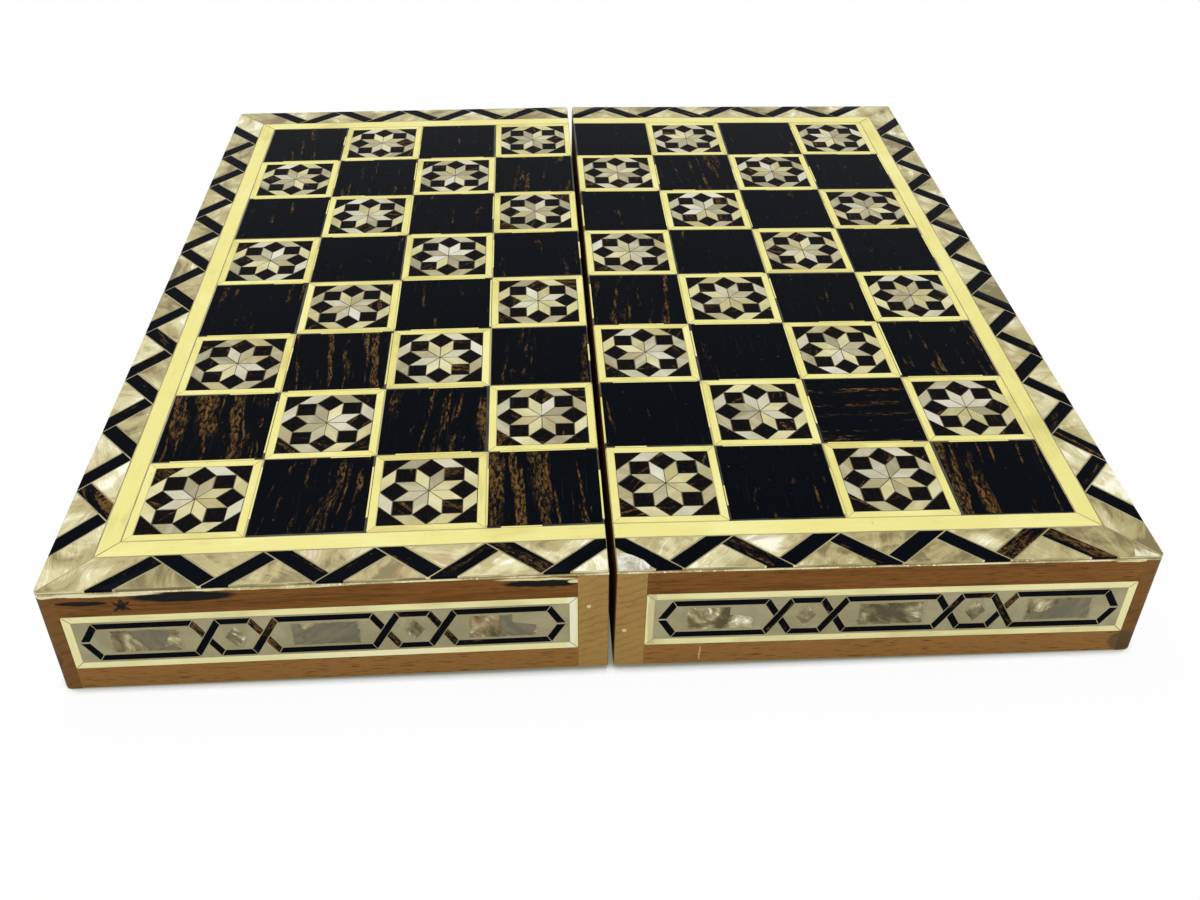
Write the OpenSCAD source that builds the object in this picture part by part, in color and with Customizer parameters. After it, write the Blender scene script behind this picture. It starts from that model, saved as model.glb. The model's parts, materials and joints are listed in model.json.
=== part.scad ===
// Folding chess and backgammon board: two inlaid trays hinged along their middle, shown opened with
// the chess side up. X runs across the hinge line, Y along it and Z up. The origin lies on the
// table, under the middle of the hinge line.
// The hinge knuckles stand on the table, and each half droops from them to its outer rim.
// Most modules draw one half level, in half coordinates, where x grows from the hinge line to the
// outer edge. half() lets it droop, and mirrors it for the left half.

/* [Playing field] */
// Pitch of the squares of the chess field
cell = 32.5; // [28:0.5:38]
// Width of the cream band round the chess field
band_w = 5.6; // [3:0.2:9]
// Width of the zigzag border outside the band
border_w = 12.2; // [8:0.2:18]
// Gap between the rims of the two halves at the hinge
hinge_gap = 1.4; // [1.2:0.1:2.4]

/* [Case] */
// Height of one half from its rim to the playing surface
half_h = 36.6; // [30:0.2:46]
// Thickness of the long outer wall
outer_wall_t = 4.8; // [4.6:0.2:8]
// Thickness of the long wall at the hinge
hinge_wall_t = 8.2; // [6.6:0.2:10]
// Thickness of the two end walls
end_wall_t = 6.4; // [4:0.2:9]
// Thickness of the wooden panel under the inlay
panel_t = 4; // [2.5:0.5:6]

/* [Inlay] */
// Thickness of the inlaid pieces
inlay_t = 0.8; // [0.5:0.1:1.4]
// Thickness of the putty bed that the pieces are set in
bed_t = 0.6; // [0.3:0.1:1.2]
// Width of the glue line between two pieces of the star mosaic
mosaic_joint = 0.3; // [0.1:0.05:0.5]
// Width of the glue line between the larger pieces
piece_joint = 0.4; // [0.1:0.05:0.6]
// Joint between a plain ebony square and the edge of its place in the field
square_joint = 1; // [0.3:0.1:1.6]
// Width of the cream strips that frame a star square
frame_strip_w = 2.3; // [1.4:0.1:3.4]
// Width of the ebony strips of the zigzag border
zigzag_w = 4.9; // [3:0.1:6.4]
// Distance from the corner of the band to the last turn of the zigzag
corner_inset = 4.2; // [2:0.2:7]

/* [Wall inlay] */
// Distance from the playing surface down to the inlaid panel of a wall
top_rail_w = 9.2; // [7.4:0.2:11]
// Distance from the rim up to the inlaid panel of a wall
rim_rail_w = 7.8; // [7.4:0.2:10]
// Width of the cream strips round a wall panel
wall_band_w = 2.4; // [1.4:0.1:3.2]
// Width of the ebony strips of the hexagon chain
chain_strip_w = 2.2; // [1.2:0.1:2.8]
// Clear field between the hexagon chain and the cream strips
chain_margin = 0.4; // [0.3:0.1:1.4]
// Clear field between the ends of the chain and the cream strips
chain_end = 2; // [1:0.1:4]
// Length of a short hexagon as a share of a long one
short_share = 0.474; // [0.42:0.002:0.6]
// Width of the glue line round the pieces of a wall panel
wall_joint = 0.2; // [0.1:0.05:0.4]
// Length of the pearl plaque in a long hexagon
long_plaque = 19.5; // [10:0.5:21]
// Length of the pearl plaque in a short hexagon
short_plaque = 6.5; // [3:0.25:7]
// Plain wood left at each end of the long outer panel
outer_panel_end = 9; // [4:0.5:20]

/* [Tray] */
// Thickness of the ground veneer inside a tray
ground_t = 0.8; // [0.4:0.1:1.4]
// Thickness of the backgammon points set on the ground
point_t = 0.6; // [0.3:0.1:1]
// Length of a backgammon point
point_len = 104; // [70:1:118]
// Width of the base of a backgammon point
point_w = 18; // [12:0.5:18]
// Width of the light line round the ground
line_w = 1.4; // [0.8:0.1:2]
// Distance from the walls to the light line
line_inset = 3; // [1.5:0.25:3.5]

/* [Hinges] */
// Distance from the middle of the board to each of the two hinges
hinge_offset = 88; // [40:1:115]
// Length of a hinge along its pin
leaf_len = 30; // [24:1:40]
// Width of a hinge leaf, measured from the face of the wall
leaf_w = 5; // [4.4:0.1:5.8]
// Thickness of a hinge leaf
leaf_t = 0.8; // [0.6:0.05:0.9]
// Outer radius of the hinge knuckles
knuckle_r = 1.25; // [1.15:0.05:1.4]
// Radius of the hinge pin
pin_r = 0.5; // [0.4:0.05:0.6]
// Radial running clearance of the pin in the knuckles
pin_clear = 0.05; // [0.02:0.01:0.08]
// Gap between the two rims when the box is shut
closing_gap = 0.3; // [0.2:0.05:0.6]
// Radius of the head of a hinge screw
screw_head_r = 1.4; // [1.1:0.1:1.6]
// Radius of the shank of a hinge screw
screw_r = 0.75; // [0.5:0.05:0.9]
// Length of a hinge screw above the leaf
screw_len = 8; // [5:0.5:12]

/* [Latch] */
// Height of the hook's pivot and of the catch above their rims
latch_h = 4.2; // [3.4:0.1:5]
// Radius of the hook round its pivot
hook_eye_r = 2.4; // [2:0.1:3]
// Width of the hook's arm
hook_w = 2.8; // [2:0.1:4]
// Thickness of the hook
hook_t = 1; // [0.6:0.1:1.6]
// Radius of the latch screws where they pass the hook
latch_neck_r = 0.9; // [0.7:0.05:1]
// Radius of the heads of the latch screws
latch_head_r = 1.9; // [1.6:0.1:2.4]
// Thickness of the heads of the latch screws
latch_head_t = 1; // [0.6:0.1:1.4]
// Depth of the latch screws in the wall
latch_depth = 4; // [2.5:0.25:4.4]

/* [Pins in the walls] */
// Radius of the small wooden pins in the ends of the hinge walls
wall_pin_r = 0.65; // [0.4:0.05:1]
// Length of the wooden pins
wall_pin_len = 10; // [6:0.5:16]

/* [Hidden] */
$fn = 48;
LEFT = -1;
RIGHT = 1;

// Squares along the hinge line, and across one half
rows = 8;
cols = 4;
// A cut runs this far past a face that it opens
past = 1;
// Rebates, pilot holes and mortises are this much wider than what sits in them
seat_clear = 0.05;
// Free space between pieces that pass each other
pass_clear = 0.3;

// Plan sizes of one half, measured from the hinge line and from the middle of the board
wall_x = hinge_gap / 2;
field_x = wall_x + cols * cell;
band_x = field_x + band_w;
outer_x = band_x + border_w;
field_y = rows * cell / 2;
band_y = field_y + band_w;
outer_y = band_y + border_w;
inner_hinge_x = wall_x + hinge_wall_t;
inner_outer_x = outer_x - outer_wall_t;
inner_y = outer_y - end_wall_t;
tray_x = inner_outer_x - inner_hinge_x;

// Levels, from the table up
axis_z = knuckle_r;
rim_above_axis = closing_gap / 2;
rim_z = axis_z + rim_above_axis;
droop = asin(axis_z / norm([outer_x, rim_above_axis])) + atan(rim_above_axis / outer_x);
top_z = rim_z + half_h;
inlay_z = top_z - inlay_t;
wood_z = inlay_z - bed_t;
panel_z = wood_z - panel_t;
ground_z = panel_z - ground_t;
points_z = ground_z - point_t;
wall_h = wood_z - rim_z;

// Zigzag border
END_TURNS = 9;
SIDE_TURNS = 20;
turn_x = (band_x - corner_inset) / END_TURNS;
turn_y = 2 * (band_y - corner_inset) / SIDE_TURNS;

// Wall panels
wall_panel_h = half_h - top_rail_w - rim_rail_w;
wall_panel_z = rim_z + rim_rail_w + wall_panel_h / 2;
end_panel_len = tray_x;
end_panel_x = (inner_hinge_x + inner_outer_x) / 2;
outer_panel_len = 2 * (outer_y - outer_panel_end);
END_HEXAGONS = 3;
OUTER_HEXAGONS = 6;
HEX_ANGLE = 60;
chain_h = wall_panel_h - 2 * wall_band_w - 2 * chain_margin;
plaque_h = chain_h - 2 * chain_strip_w - 2 * piece_joint;

// Backgammon points of one half, on each of its two short sides
POINTS = 6;
ground_x = tray_x - 2 * seat_clear;
ground_y = 2 * inner_y - 2 * seat_clear;
point_pitch = (tray_x - 2 * line_inset - 2 * line_w) / POINTS;
point_base_y = inner_y - line_inset - line_w - piece_joint;

// Hinge
knuckle_len = leaf_len / 3;
leaf_edge_x = knuckle_r + pass_clear;
tab_x = pin_r + pin_clear + 0.05;
screw_x = wall_x + leaf_w * 0.6;
screw_y = leaf_len / 3;
screw_slot = 0.4;
head_recess = 0.05;

// Latch
pivot_z = rim_z + latch_h;
hook_reach = 2 * latch_h + closing_gap;
hook_x = outer_x + pass_clear;
latch_head_x = hook_x + hook_t + pass_clear;
hook_bore_r = latch_neck_r + 0.05;
notch_r = latch_neck_r + 0.4;
hook_tip_r = notch_r + 1.2;

// Wooden pins in the end grain: distance from the hinge line, and depth under the playing surface
left_pin_x = wall_x + hinge_wall_t * 0.65;
right_pin_x = wall_x + hinge_wall_t * 0.32;
left_pin_depth = half_h * 0.356;
right_pin_depth = half_h * 0.622;

// Colours
BEECH = [0.62, 0.36, 0.17];
EBONY = [0.07, 0.06, 0.06];
CREAM = [0.93, 0.9, 0.66];
PEARL = [0.84, 0.8, 0.64];
PUTTY = [0.72, 0.68, 0.55];
BONE = [0.76, 0.72, 0.63];
WALNUT = [0.4, 0.24, 0.13];
BRASS = [0.78, 0.62, 0.3];

// Plane geometry
function ones(n) = [for (i = [0:n - 1]) 1];
function signed_area(p) =
    let (n = len(p))
    [for (i = [0:n - 1]) cross(p[i], p[(i + 1) % n])] * ones(n) / 2;
function inward(a, b, turn) = turn * [a[1] - b[1], b[0] - a[0]] / norm(b - a);
// The outline p with every edge moved in by d
function inset(p, d) =
    let (n = len(p), turn = sign(signed_area(p)))
    [
        for (i = [0:n - 1])
            let (
                before = inward(p[(i + n - 1) % n], p[i], turn),
                after = inward(p[i], p[(i + 1) % n], turn)
            )
            p[i] + d * (before + after) / (1 + before * after)
    ];
function ray(k) = [cos(45 * k), sin(45 * k)];

// One inlaid piece: the outline less half a glue line, drawn t thick
module tile(outline, joint, t = inlay_t) {
    linear_extrude(t) polygon(inset(outline, joint / 2));
}

module tiles(outlines, joint, t = inlay_t) {
    for (outline = outlines)
        tile(outline, joint, t);
}

// The same on the playing surface
module surface_tiles(outlines, joint) {
    translate([0, 0, inlay_z]) tiles(outlines, joint);
}

module drooping() {
    translate([0, 0, axis_z]) rotate([0, droop, 0]) translate([0, 0, -axis_z]) children();
}

module half(side) {
    if (side == RIGHT)
        drooping() children();
    else
        mirror([1, 0, 0]) drooping() children();
}

module both_ends() {
    children();
    mirror([0, 1, 0]) children();
}

// Squares of the chess field; a star stands where row plus column is even, counted from the left
function cell_centre(col, row) = [wall_x + (col + 0.5) * cell, (row + 0.5) * cell - field_y];
function squares(side, star) = [
    for (row = [0:rows - 1])
        for (col = [0:cols - 1])
            if ((row + col + (side == LEFT ? 1 : 0) + (star ? 0 : 1)) % 2 == 0)
                cell_centre(col, row)
];
function square_outline(half_side) = [
    [-half_side, -half_side], [half_side, -half_side], [half_side, half_side], [-half_side, half_side]
];

// Eight-point star: rhombi and squares of one side length fill a square frame
frame_half = cell / 2 - mosaic_joint / 2;
star_half = frame_half - frame_strip_w;
star_side = star_half / (1 + sqrt(2));
function star_tip(k) = star_side * (ray(k) + ray(k + 1));
function square_tip(k) = star_half * ray(k);
function star_point(k) = [[0, 0], star_side * ray(k), star_tip(k), star_side * ray(k + 1)];
function star_square(k) = [star_side * ray(k), star_tip(k - 1), square_tip(k), star_tip(k)];
function star_rim(k) = [
    star_tip(k), square_tip(k), square_tip(k) + square_tip(k + 1) - star_tip(k), square_tip(k + 1)
];
function star_corner(sx, sy) =
    let (near = star_side, far = star_half)
    [[sx * far, sy * near], [sx * far, sy * far], [sx * near, sy * far]];
// The four mitred strips of a frame between two squares
function frame_strips(outer, inner) = [
    for (k = [0:3])
        let (a = square_outline(outer), b = square_outline(inner))
        [a[k], a[(k + 1) % 4], b[(k + 1) % 4], b[k]]
];

module at_stars(side) {
    half(side)
        for (centre = squares(side, true))
            translate([centre[0], centre[1], 0]) children();
}

module ebony_squares(side) {
    color(EBONY)
        half(side)
            for (centre = squares(side, false))
                translate([centre[0], centre[1], 0])
                    surface_tiles([square_outline(cell / 2)], square_joint);
}

module star_frames(side) {
    color(CREAM)
        at_stars(side) surface_tiles(frame_strips(frame_half, star_half), 0.5 * mosaic_joint);
}

module star_points(side) {
    color(PEARL)
        at_stars(side) surface_tiles([for (k = [0:7]) star_point(k)], mosaic_joint);
}

module star_squares(side) {
    color(EBONY)
        at_stars(side) surface_tiles([for (k = [0:7]) star_square(k)], mosaic_joint);
}

module star_rims(side) {
    color(PEARL)
        at_stars(side) surface_tiles([for (k = [0:7]) star_rim(k)], mosaic_joint);
}

module star_corners(side) {
    color(EBONY)
        at_stars(side)
            surface_tiles([for (sx = [-1, 1]) for (sy = [-1, 1]) star_corner(sx, sy)], mosaic_joint);
}

// Cream band on the three outer sides of a half's field, mitred at its corners
function end_band() = [[wall_x, -field_y], [field_x, -field_y], [band_x, -band_y], [wall_x, -band_y]];
function side_band() = [[field_x, -field_y], [field_x, field_y], [band_x, band_y], [band_x, -band_y]];

module field_band(side) {
    color(CREAM)
        half(side) {
            surface_tiles([side_band()], mosaic_joint);
            both_ends() surface_tiles([end_band()], mosaic_joint);
        }
}

// Zigzag. u runs along the border and v from the edge of the board (0) to the band (border_w).
// Turn i lies at u = start + i * turn, at the band or at the edge in turns.
function lay(turn) = zigzag_w / sin(atan(border_w / turn));
function level(i, first_high) = (i % 2 == 0) == first_high ? border_w : 0;
function turn_u(i, start, turn) = start + i * turn + lay(turn) / 2;
// Where the strips before and after a turn part
function fork(i, start, turn, first_high) =
    let (v = level(i, first_high), w = level(i + 1, first_high))
    [start + i * turn, v + (w - v) * lay(turn) / (2 * turn)];
// A strip runs out flush at its far turn and butts against the strip before it at its near turn
function zig_strip(i, start, turn, first_high) = [
    [turn_u(i, start, turn), level(i, first_high)],
    [turn_u(i + 1, start, turn), level(i + 1, first_high)],
    [turn_u(i + 1, start, turn) - lay(turn), level(i + 1, first_high)],
    fork(i, start, turn, first_high)
];
function zig_pearl(i, start, turn, first_high) = [
    [turn_u(i - 1, start, turn), level(i - 1, first_high)],
    [turn_u(i + 1, start, turn) - lay(turn), level(i + 1, first_high)],
    fork(i, start, turn, first_high)
];
// Level at which the first strip of an end border leaves the hinge edge
hinge_level = border_w * (1 - (wall_x + lay(turn_x) / 2) / turn_x);
function end_strips() = concat(
    [[
        [wall_x, border_w], [turn_u(0, 0, turn_x), border_w], [turn_u(1, 0, turn_x), 0],
        [turn_u(1, 0, turn_x) - lay(turn_x), 0], [wall_x, hinge_level]
    ]],
    [for (i = [1:END_TURNS - 1]) zig_strip(i, 0, turn_x, true)]
);
function end_pearls() = concat(
    [[[wall_x, 0], [turn_u(1, 0, turn_x) - lay(turn_x), 0], [wall_x, hinge_level]]],
    [for (i = [1:END_TURNS - 1]) zig_pearl(i, 0, turn_x, true)],
    [[
        [turn_u(END_TURNS - 1, 0, turn_x), border_w], [band_x, border_w], [outer_x, 0],
        [turn_u(END_TURNS, 0, turn_x), 0]
    ]]
);
side_start = corner_inset - band_y;
function side_strips() = concat(
    [[
        [turn_u(0, side_start, turn_y), 0], [turn_u(1, side_start, turn_y), border_w],
        [turn_u(1, side_start, turn_y) - lay(turn_y), border_w],
        [turn_u(0, side_start, turn_y) - lay(turn_y), 0]
    ]],
    [for (i = [1:SIDE_TURNS - 1]) zig_strip(i, side_start, turn_y, false)]
);
function side_pearls() = concat(
    [[
        [-outer_y, 0], [turn_u(0, side_start, turn_y) - lay(turn_y), 0],
        [turn_u(1, side_start, turn_y) - lay(turn_y), border_w], [-band_y, border_w]
    ]],
    [for (i = [1:SIDE_TURNS - 1]) zig_pearl(i, side_start, turn_y, false)],
    [[
        [turn_u(SIDE_TURNS - 1, side_start, turn_y), border_w], [band_y, border_w], [outer_y, 0],
        [turn_u(SIDE_TURNS, side_start, turn_y), 0]
    ]]
);

module border(end_outlines, side_outlines) {
    both_ends() translate([0, -outer_y, 0]) surface_tiles(end_outlines, piece_joint);
    translate([outer_x, 0, 0]) rotate([0, 0, -90]) mirror([0, 1, 0])
        surface_tiles(side_outlines, piece_joint);
}

module border_strips(side) {
    color(EBONY) half(side) border(end_strips(), side_strips());
}

module border_pearls(side) {
    color(PEARL) half(side) border(end_pearls(), side_pearls());
}

// Hexagon chain of a wall panel. u runs along the wall and v across it, both from the middle.
strip_half = chain_strip_w / 2;
run_v = chain_h / 2 - strip_half;
run_u = run_v / tan(HEX_ANGLE);
mitre_u = strip_half * tan(HEX_ANGLE / 2);
strip_u = strip_half / sin(HEX_ANGLE);
function long_hexagon(panel_len, count) =
    (panel_len - 2 * wall_band_w - 2 * chain_end) / (count + (count - 1) * short_share);
// Place of joint i of the chain, where hexagons i - 1 and i cross; even hexagons are long
function chain_u(i, panel_len, count) =
    let (long = long_hexagon(panel_len, count))
    wall_band_w + chain_end - panel_len / 2 + ceil(i / 2) * long + floor(i / 2) * long * short_share;
// The four corners of a chain strip's ends: the outer and inner corner of a hexagon's bend
function bend_out(u, su, sv) = [u + su * (run_u - mitre_u), sv * (run_v + strip_half)];
function bend_in(u, su, sv) = [u + su * (run_u + mitre_u), sv * (run_v - strip_half)];
function chain_bar(a, b, sv) = [
    bend_out(a, 1, sv), bend_out(b, -1, sv), bend_in(b, -1, sv), bend_in(a, 1, sv)
];
// One strip of a crossing runs through, rising with u where lean is 1, and two short ones meet it
function full_cross(u, lean) = [
    bend_in(u, -1, -lean), bend_out(u, -1, -lean), bend_in(u, 1, lean), bend_out(u, 1, lean)
];
function half_cross(u, sv, lean) = [
    bend_in(u, -sv * lean, sv), bend_out(u, -sv * lean, sv),
    [u, sv * chain_strip_w], [u - sv * lean * strip_u, 0]
];
// Seen from the front all but the outermost one on the right half lean to the right
function lean(side, i, last) = side == LEFT || i == last - 1 ? -1 : 1;
function chain_tip(u, su, sv) =
    let (rise = wall_joint, slide = rise / tan(HEX_ANGLE))
    [
        bend_out(u, su, sv), bend_in(u, su, sv),
        [u + su * (strip_u + slide), sv * rise], [u + su * (slide - strip_u), sv * rise]
    ];
function chain_strips(panel_len, count, side) =
    let (last = 2 * count - 1, u = [for (i = [0:last]) chain_u(i, panel_len, count)])
    concat(
        [for (i = [0:last - 1]) for (sv = [-1, 1]) chain_bar(u[i], u[i + 1], sv)],
        [for (i = [1:last - 1]) full_cross(u[i], lean(side, i, last))],
        [for (i = [1:last - 1]) for (sv = [-1, 1]) half_cross(u[i], sv, lean(side, i, last))],
        [for (sv = [-1, 1]) chain_tip(u[0], 1, sv)],
        [for (sv = [-1, 1]) chain_tip(u[last], -1, sv)]
    );
function rectangle(u, length, height) = [
    [u - length / 2, -height / 2], [u + length / 2, -height / 2],
    [u + length / 2, height / 2], [u - length / 2, height / 2]
];
// A short hexagon's plaque is cut to a smaller hexagon
function hexagon(u, length, height) = [
    [u - length / 2, 0], [u - length / 4, -height / 2], [u + length / 4, -height / 2],
    [u + length / 2, 0], [u + length / 4, height / 2], [u - length / 4, height / 2]
];
function chain_plaques(panel_len, count) =
    let (last = 2 * count - 1, u = [for (i = [0:last]) chain_u(i, panel_len, count)])
    [
        for (i = [0:last - 1])
            let (middle = (u[i] + u[i + 1]) / 2)
            i % 2 == 0
                ? rectangle(middle, long_plaque, plaque_h)
                : hexagon(middle, short_plaque, plaque_h)
    ];
function panel_bands(panel_len) =
    let (
        a = rectangle(0, panel_len, wall_panel_h),
        b = rectangle(0, panel_len - 2 * wall_band_w, wall_panel_h - 2 * wall_band_w)
    )
    [for (k = [0:3]) [a[k], a[(k + 1) % 4], b[(k + 1) % 4], b[k]]];

// Puts a panel drawn flat, with its back at z = 0, into the rebates of the three inlaid walls
module on_end_walls() {
    both_ends()
        translate([end_panel_x, inlay_t - outer_y, wall_panel_z]) rotate([90, 0, 0]) children();
}
module on_outer_wall() {
    translate([outer_x - inlay_t, 0, wall_panel_z]) rotate([90, 0, 90]) children();
}

module wall_bands(side) {
    color(CREAM)
        half(side) {
            on_end_walls() tiles(panel_bands(end_panel_len), wall_joint);
            on_outer_wall() tiles(panel_bands(outer_panel_len), wall_joint);
        }
}

module wall_strips(side) {
    color(EBONY)
        half(side) {
            on_end_walls() tiles(chain_strips(end_panel_len, END_HEXAGONS, side), wall_joint);
            on_outer_wall() tiles(chain_strips(outer_panel_len, OUTER_HEXAGONS, side), wall_joint);
        }
}

module wall_plaques(side) {
    color(PEARL)
        half(side) {
            on_end_walls() tiles(chain_plaques(end_panel_len, END_HEXAGONS), wall_joint);
            on_outer_wall() tiles(chain_plaques(outer_panel_len, OUTER_HEXAGONS), wall_joint);
        }
}

// The pale ground of a panel, with openings for the strips and plaques
module panel_field(panel_len, count, side) {
    difference() {
        linear_extrude(inlay_t)
            polygon(inset(
                rectangle(0, panel_len - 2 * wall_band_w, wall_panel_h - 2 * wall_band_w), wall_joint / 2
            ));
        translate([0, 0, -past])
            for (outline = concat(chain_strips(panel_len, count, side), chain_plaques(panel_len, count)))
                linear_extrude(inlay_t + 2 * past) polygon(outline);
    }
}

module wall_fields(side) {
    color(BONE)
        half(side) {
            on_end_walls() panel_field(end_panel_len, END_HEXAGONS, side);
            on_outer_wall() panel_field(outer_panel_len, OUTER_HEXAGONS, side);
        }
}

// Walls. The long walls run through, and the end walls stand between them.
module hinge_places() {
    for (y = [-hinge_offset, hinge_offset])
        translate([0, y, 0]) children();
}

module wall_pin_places(side) {
    x = side == LEFT ? left_pin_x : right_pin_x;
    depth = side == LEFT ? left_pin_depth : right_pin_depth;
    both_ends()
        translate([x, -outer_y, top_z - depth]) rotate([-90, 0, 0]) children();
}

module hinge_wall(side) {
    color(BEECH)
        half(side)
            difference() {
                translate([wall_x, -outer_y, rim_z]) cube([hinge_wall_t, 2 * outer_y, wall_h]);
                hinge_places() {
                    // Mortise for the leaf
                    translate([0, -leaf_len / 2 - seat_clear, rim_z - past])
                        cube([wall_x + leaf_w + seat_clear, leaf_len + 2 * seat_clear, past + leaf_t]);
                    // Hollow for the knuckles
                    translate([0, -leaf_len / 2 - pass_clear, axis_z]) rotate([-90, 0, 0])
                        cylinder(r = knuckle_r + pass_clear, h = leaf_len + 2 * pass_clear);
                    // Pilot holes
                    for (y = [-screw_y, screw_y])
                        translate([screw_x, y, rim_z])
                            cylinder(r = screw_r + seat_clear, h = leaf_t + screw_len + 4 * seat_clear);
                }
                wall_pin_places(side)
                    translate([0, 0, -past])
                        cylinder(r = wall_pin_r + seat_clear, h = wall_pin_len + past + seat_clear);
            }
}

module outer_wall(side) {
    color(BEECH)
        half(side)
            difference() {
                translate([inner_outer_x, -outer_y, rim_z]) cube([outer_wall_t, 2 * outer_y, wall_h]);
                // Rebate for the panel
                translate([outer_x - inlay_t, -outer_panel_len / 2, wall_panel_z - wall_panel_h / 2])
                    cube([inlay_t + past, outer_panel_len, wall_panel_h]);
                // Hole for the latch screw
                translate([outer_x - latch_depth - seat_clear, 0, pivot_z]) rotate([0, 90, 0])
                    cylinder(r = latch_neck_r + seat_clear, h = latch_depth + past);
            }
}

module end_wall() {
    difference() {
        translate([inner_hinge_x, -outer_y, rim_z]) cube([tray_x, end_wall_t, wall_h]);
        // Rebate for the panel
        translate([inner_hinge_x - past, -outer_y - past, wall_panel_z - wall_panel_h / 2])
            cube([tray_x + 2 * past, inlay_t + past, wall_panel_h]);
    }
}

module front_wall(side) {
    color(BEECH) half(side) end_wall();
}

module back_wall(side) {
    color(BEECH) half(side) mirror([0, 1, 0]) end_wall();
}

module base_panel(side) {
    color(BEECH)
        half(side) translate([inner_hinge_x, -inner_y, panel_z]) cube([tray_x, 2 * inner_y, panel_t]);
}

module inlay_bed(side) {
    color(PUTTY)
        half(side) translate([wall_x, -outer_y, wood_z]) cube([outer_x - wall_x, 2 * outer_y, bed_t]);
}

module wall_pins(side) {
    color(CREAM)
        half(side)
            wall_pin_places(side)
                cylinder(r = wall_pin_r, h = wall_pin_len);
}

// Inside of a tray, seen when the box is opened with its rims up
module tray_ground(side) {
    color(WALNUT)
        half(side)
            translate([inner_hinge_x + seat_clear, -ground_y / 2, ground_z])
                cube([ground_x, ground_y, ground_t]);
}

module points(side, dark) {
    half(side)
        translate([0, 0, points_z])
            for (i = [0:POINTS - 1])
                for (end = [-1, 1])
                    if ((i + (end == 1 ? 1 : 0) + (side == LEFT ? 1 : 0)) % 2 == (dark ? 0 : 1))
                        let (x = inner_hinge_x + line_inset + line_w + (i + 0.5) * point_pitch)
                            tile([
                                [x - point_w / 2, end * point_base_y],
                                [x + point_w / 2, end * point_base_y],
                                [x, end * (point_base_y - point_len)]
                            ], mosaic_joint, point_t);
}

module dark_points(side) {
    color(EBONY) points(side, true);
}

module light_points(side) {
    color(CREAM) points(side, false);
}

module tray_lines(side) {
    a = [tray_x / 2 - line_inset, inner_y - line_inset];
    b = a - [line_w, line_w];
    corner = [[-1, -1], [1, -1], [1, 1], [-1, 1]];
    color(CREAM)
        half(side)
            translate([end_panel_x, 0, points_z])
                for (k = [0:3])
                    let (c = corner[k], d = corner[(k + 1) % 4])
                        tile([
                            [c[0] * a[0], c[1] * a[1]], [d[0] * a[0], d[1] * a[1]],
                            [d[0] * b[0], d[1] * b[1]], [c[0] * b[0], c[1] * b[1]]
                        ], mosaic_joint, point_t);
}

// Hinges: the left leaf carries the two end knuckles and the right leaf the middle one
function knuckle_starts(side) =
    side == LEFT ? [-1.5 * knuckle_len, 0.5 * knuckle_len] : [-0.5 * knuckle_len];

module knuckle_span(start) {
    translate([0, start + pass_clear / 2, axis_z]) rotate([-90, 0, 0])
        cylinder(r = knuckle_r, h = knuckle_len - pass_clear);
    translate([tab_x, start + pass_clear / 2, rim_z])
        cube([leaf_edge_x - tab_x + leaf_w / 2, knuckle_len - pass_clear, leaf_t]);
}

module hinge_leaves(side) {
    color(BRASS)
        half(side)
            hinge_places()
                difference() {
                    union() {
                        translate([leaf_edge_x, -leaf_len / 2, rim_z])
                            cube([wall_x + leaf_w - leaf_edge_x, leaf_len, leaf_t]);
                        for (start = knuckle_starts(side))
                            knuckle_span(start);
                    }
                    translate([0, -leaf_len / 2 - past, axis_z]) rotate([-90, 0, 0])
                        cylinder(r = pin_r + pin_clear, h = leaf_len + 2 * past);
                    for (y = [-screw_y, screw_y])
                        translate([screw_x, y, rim_z - seat_clear])
                            cylinder(
                                r1 = screw_head_r + 2 * seat_clear,
                                r2 = screw_r + 2 * seat_clear,
                                h = leaf_t + 2 * seat_clear
                            );
                }
}

module hinge_screws(side) {
    color(BRASS)
        half(side)
            hinge_places()
                for (y = [-screw_y, screw_y])
                    translate([screw_x, y, rim_z + head_recess])
                        difference() {
                            union() {
                                cylinder(r1 = screw_head_r, r2 = screw_r, h = leaf_t - head_recess);
                                cylinder(r = screw_r, h = leaf_t + screw_len);
                            }
                            translate([-past - screw_head_r, -screw_slot / 2, -past])
                                cube([2 * (past + screw_head_r), screw_slot, past + leaf_t / 3]);
                        }
}

module hinge_pins() {
    color(BRASS)
        hinge_places()
            translate([0, pass_clear / 2 - leaf_len / 2, axis_z]) rotate([-90, 0, 0])
                cylinder(r = pin_r, h = leaf_len - pass_clear);
}

// Latch: a hook swings on the left half and takes the catch of the right half when the box is shut
module latch_screw() {
    rotate([0, 90, 0]) {
        translate([0, 0, outer_x - latch_depth])
            cylinder(r = latch_neck_r, h = latch_head_x + latch_head_t - outer_x + latch_depth);
        translate([0, 0, latch_head_x]) cylinder(r = latch_head_r, h = latch_head_t);
    }
}

module latch_pivot() {
    color(BRASS) half(LEFT) translate([0, 0, pivot_z]) latch_screw();
}

module latch_catch() {
    color(BRASS) half(RIGHT) translate([0, 0, pivot_z]) latch_screw();
}

// Drawn flat, with the pivot at the origin and the arm along x; the notch opens at its lower side
module hook_plate() {
    linear_extrude(hook_t)
        difference() {
            union() {
                circle(r = hook_eye_r);
                translate([0, -hook_w / 2]) square([hook_reach, hook_w]);
                translate([hook_reach, 0]) circle(r = hook_tip_r);
            }
            circle(r = hook_bore_r);
            translate([hook_reach, 0]) circle(r = notch_r);
            translate([hook_reach - notch_r, -hook_tip_r - past]) square([2 * notch_r, hook_tip_r + past]);
        }
}

module latch_hook() {
    color(BRASS)
        half(LEFT) translate([hook_x, 0, pivot_z]) rotate([90, 0, 90]) hook_plate();
}

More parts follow.
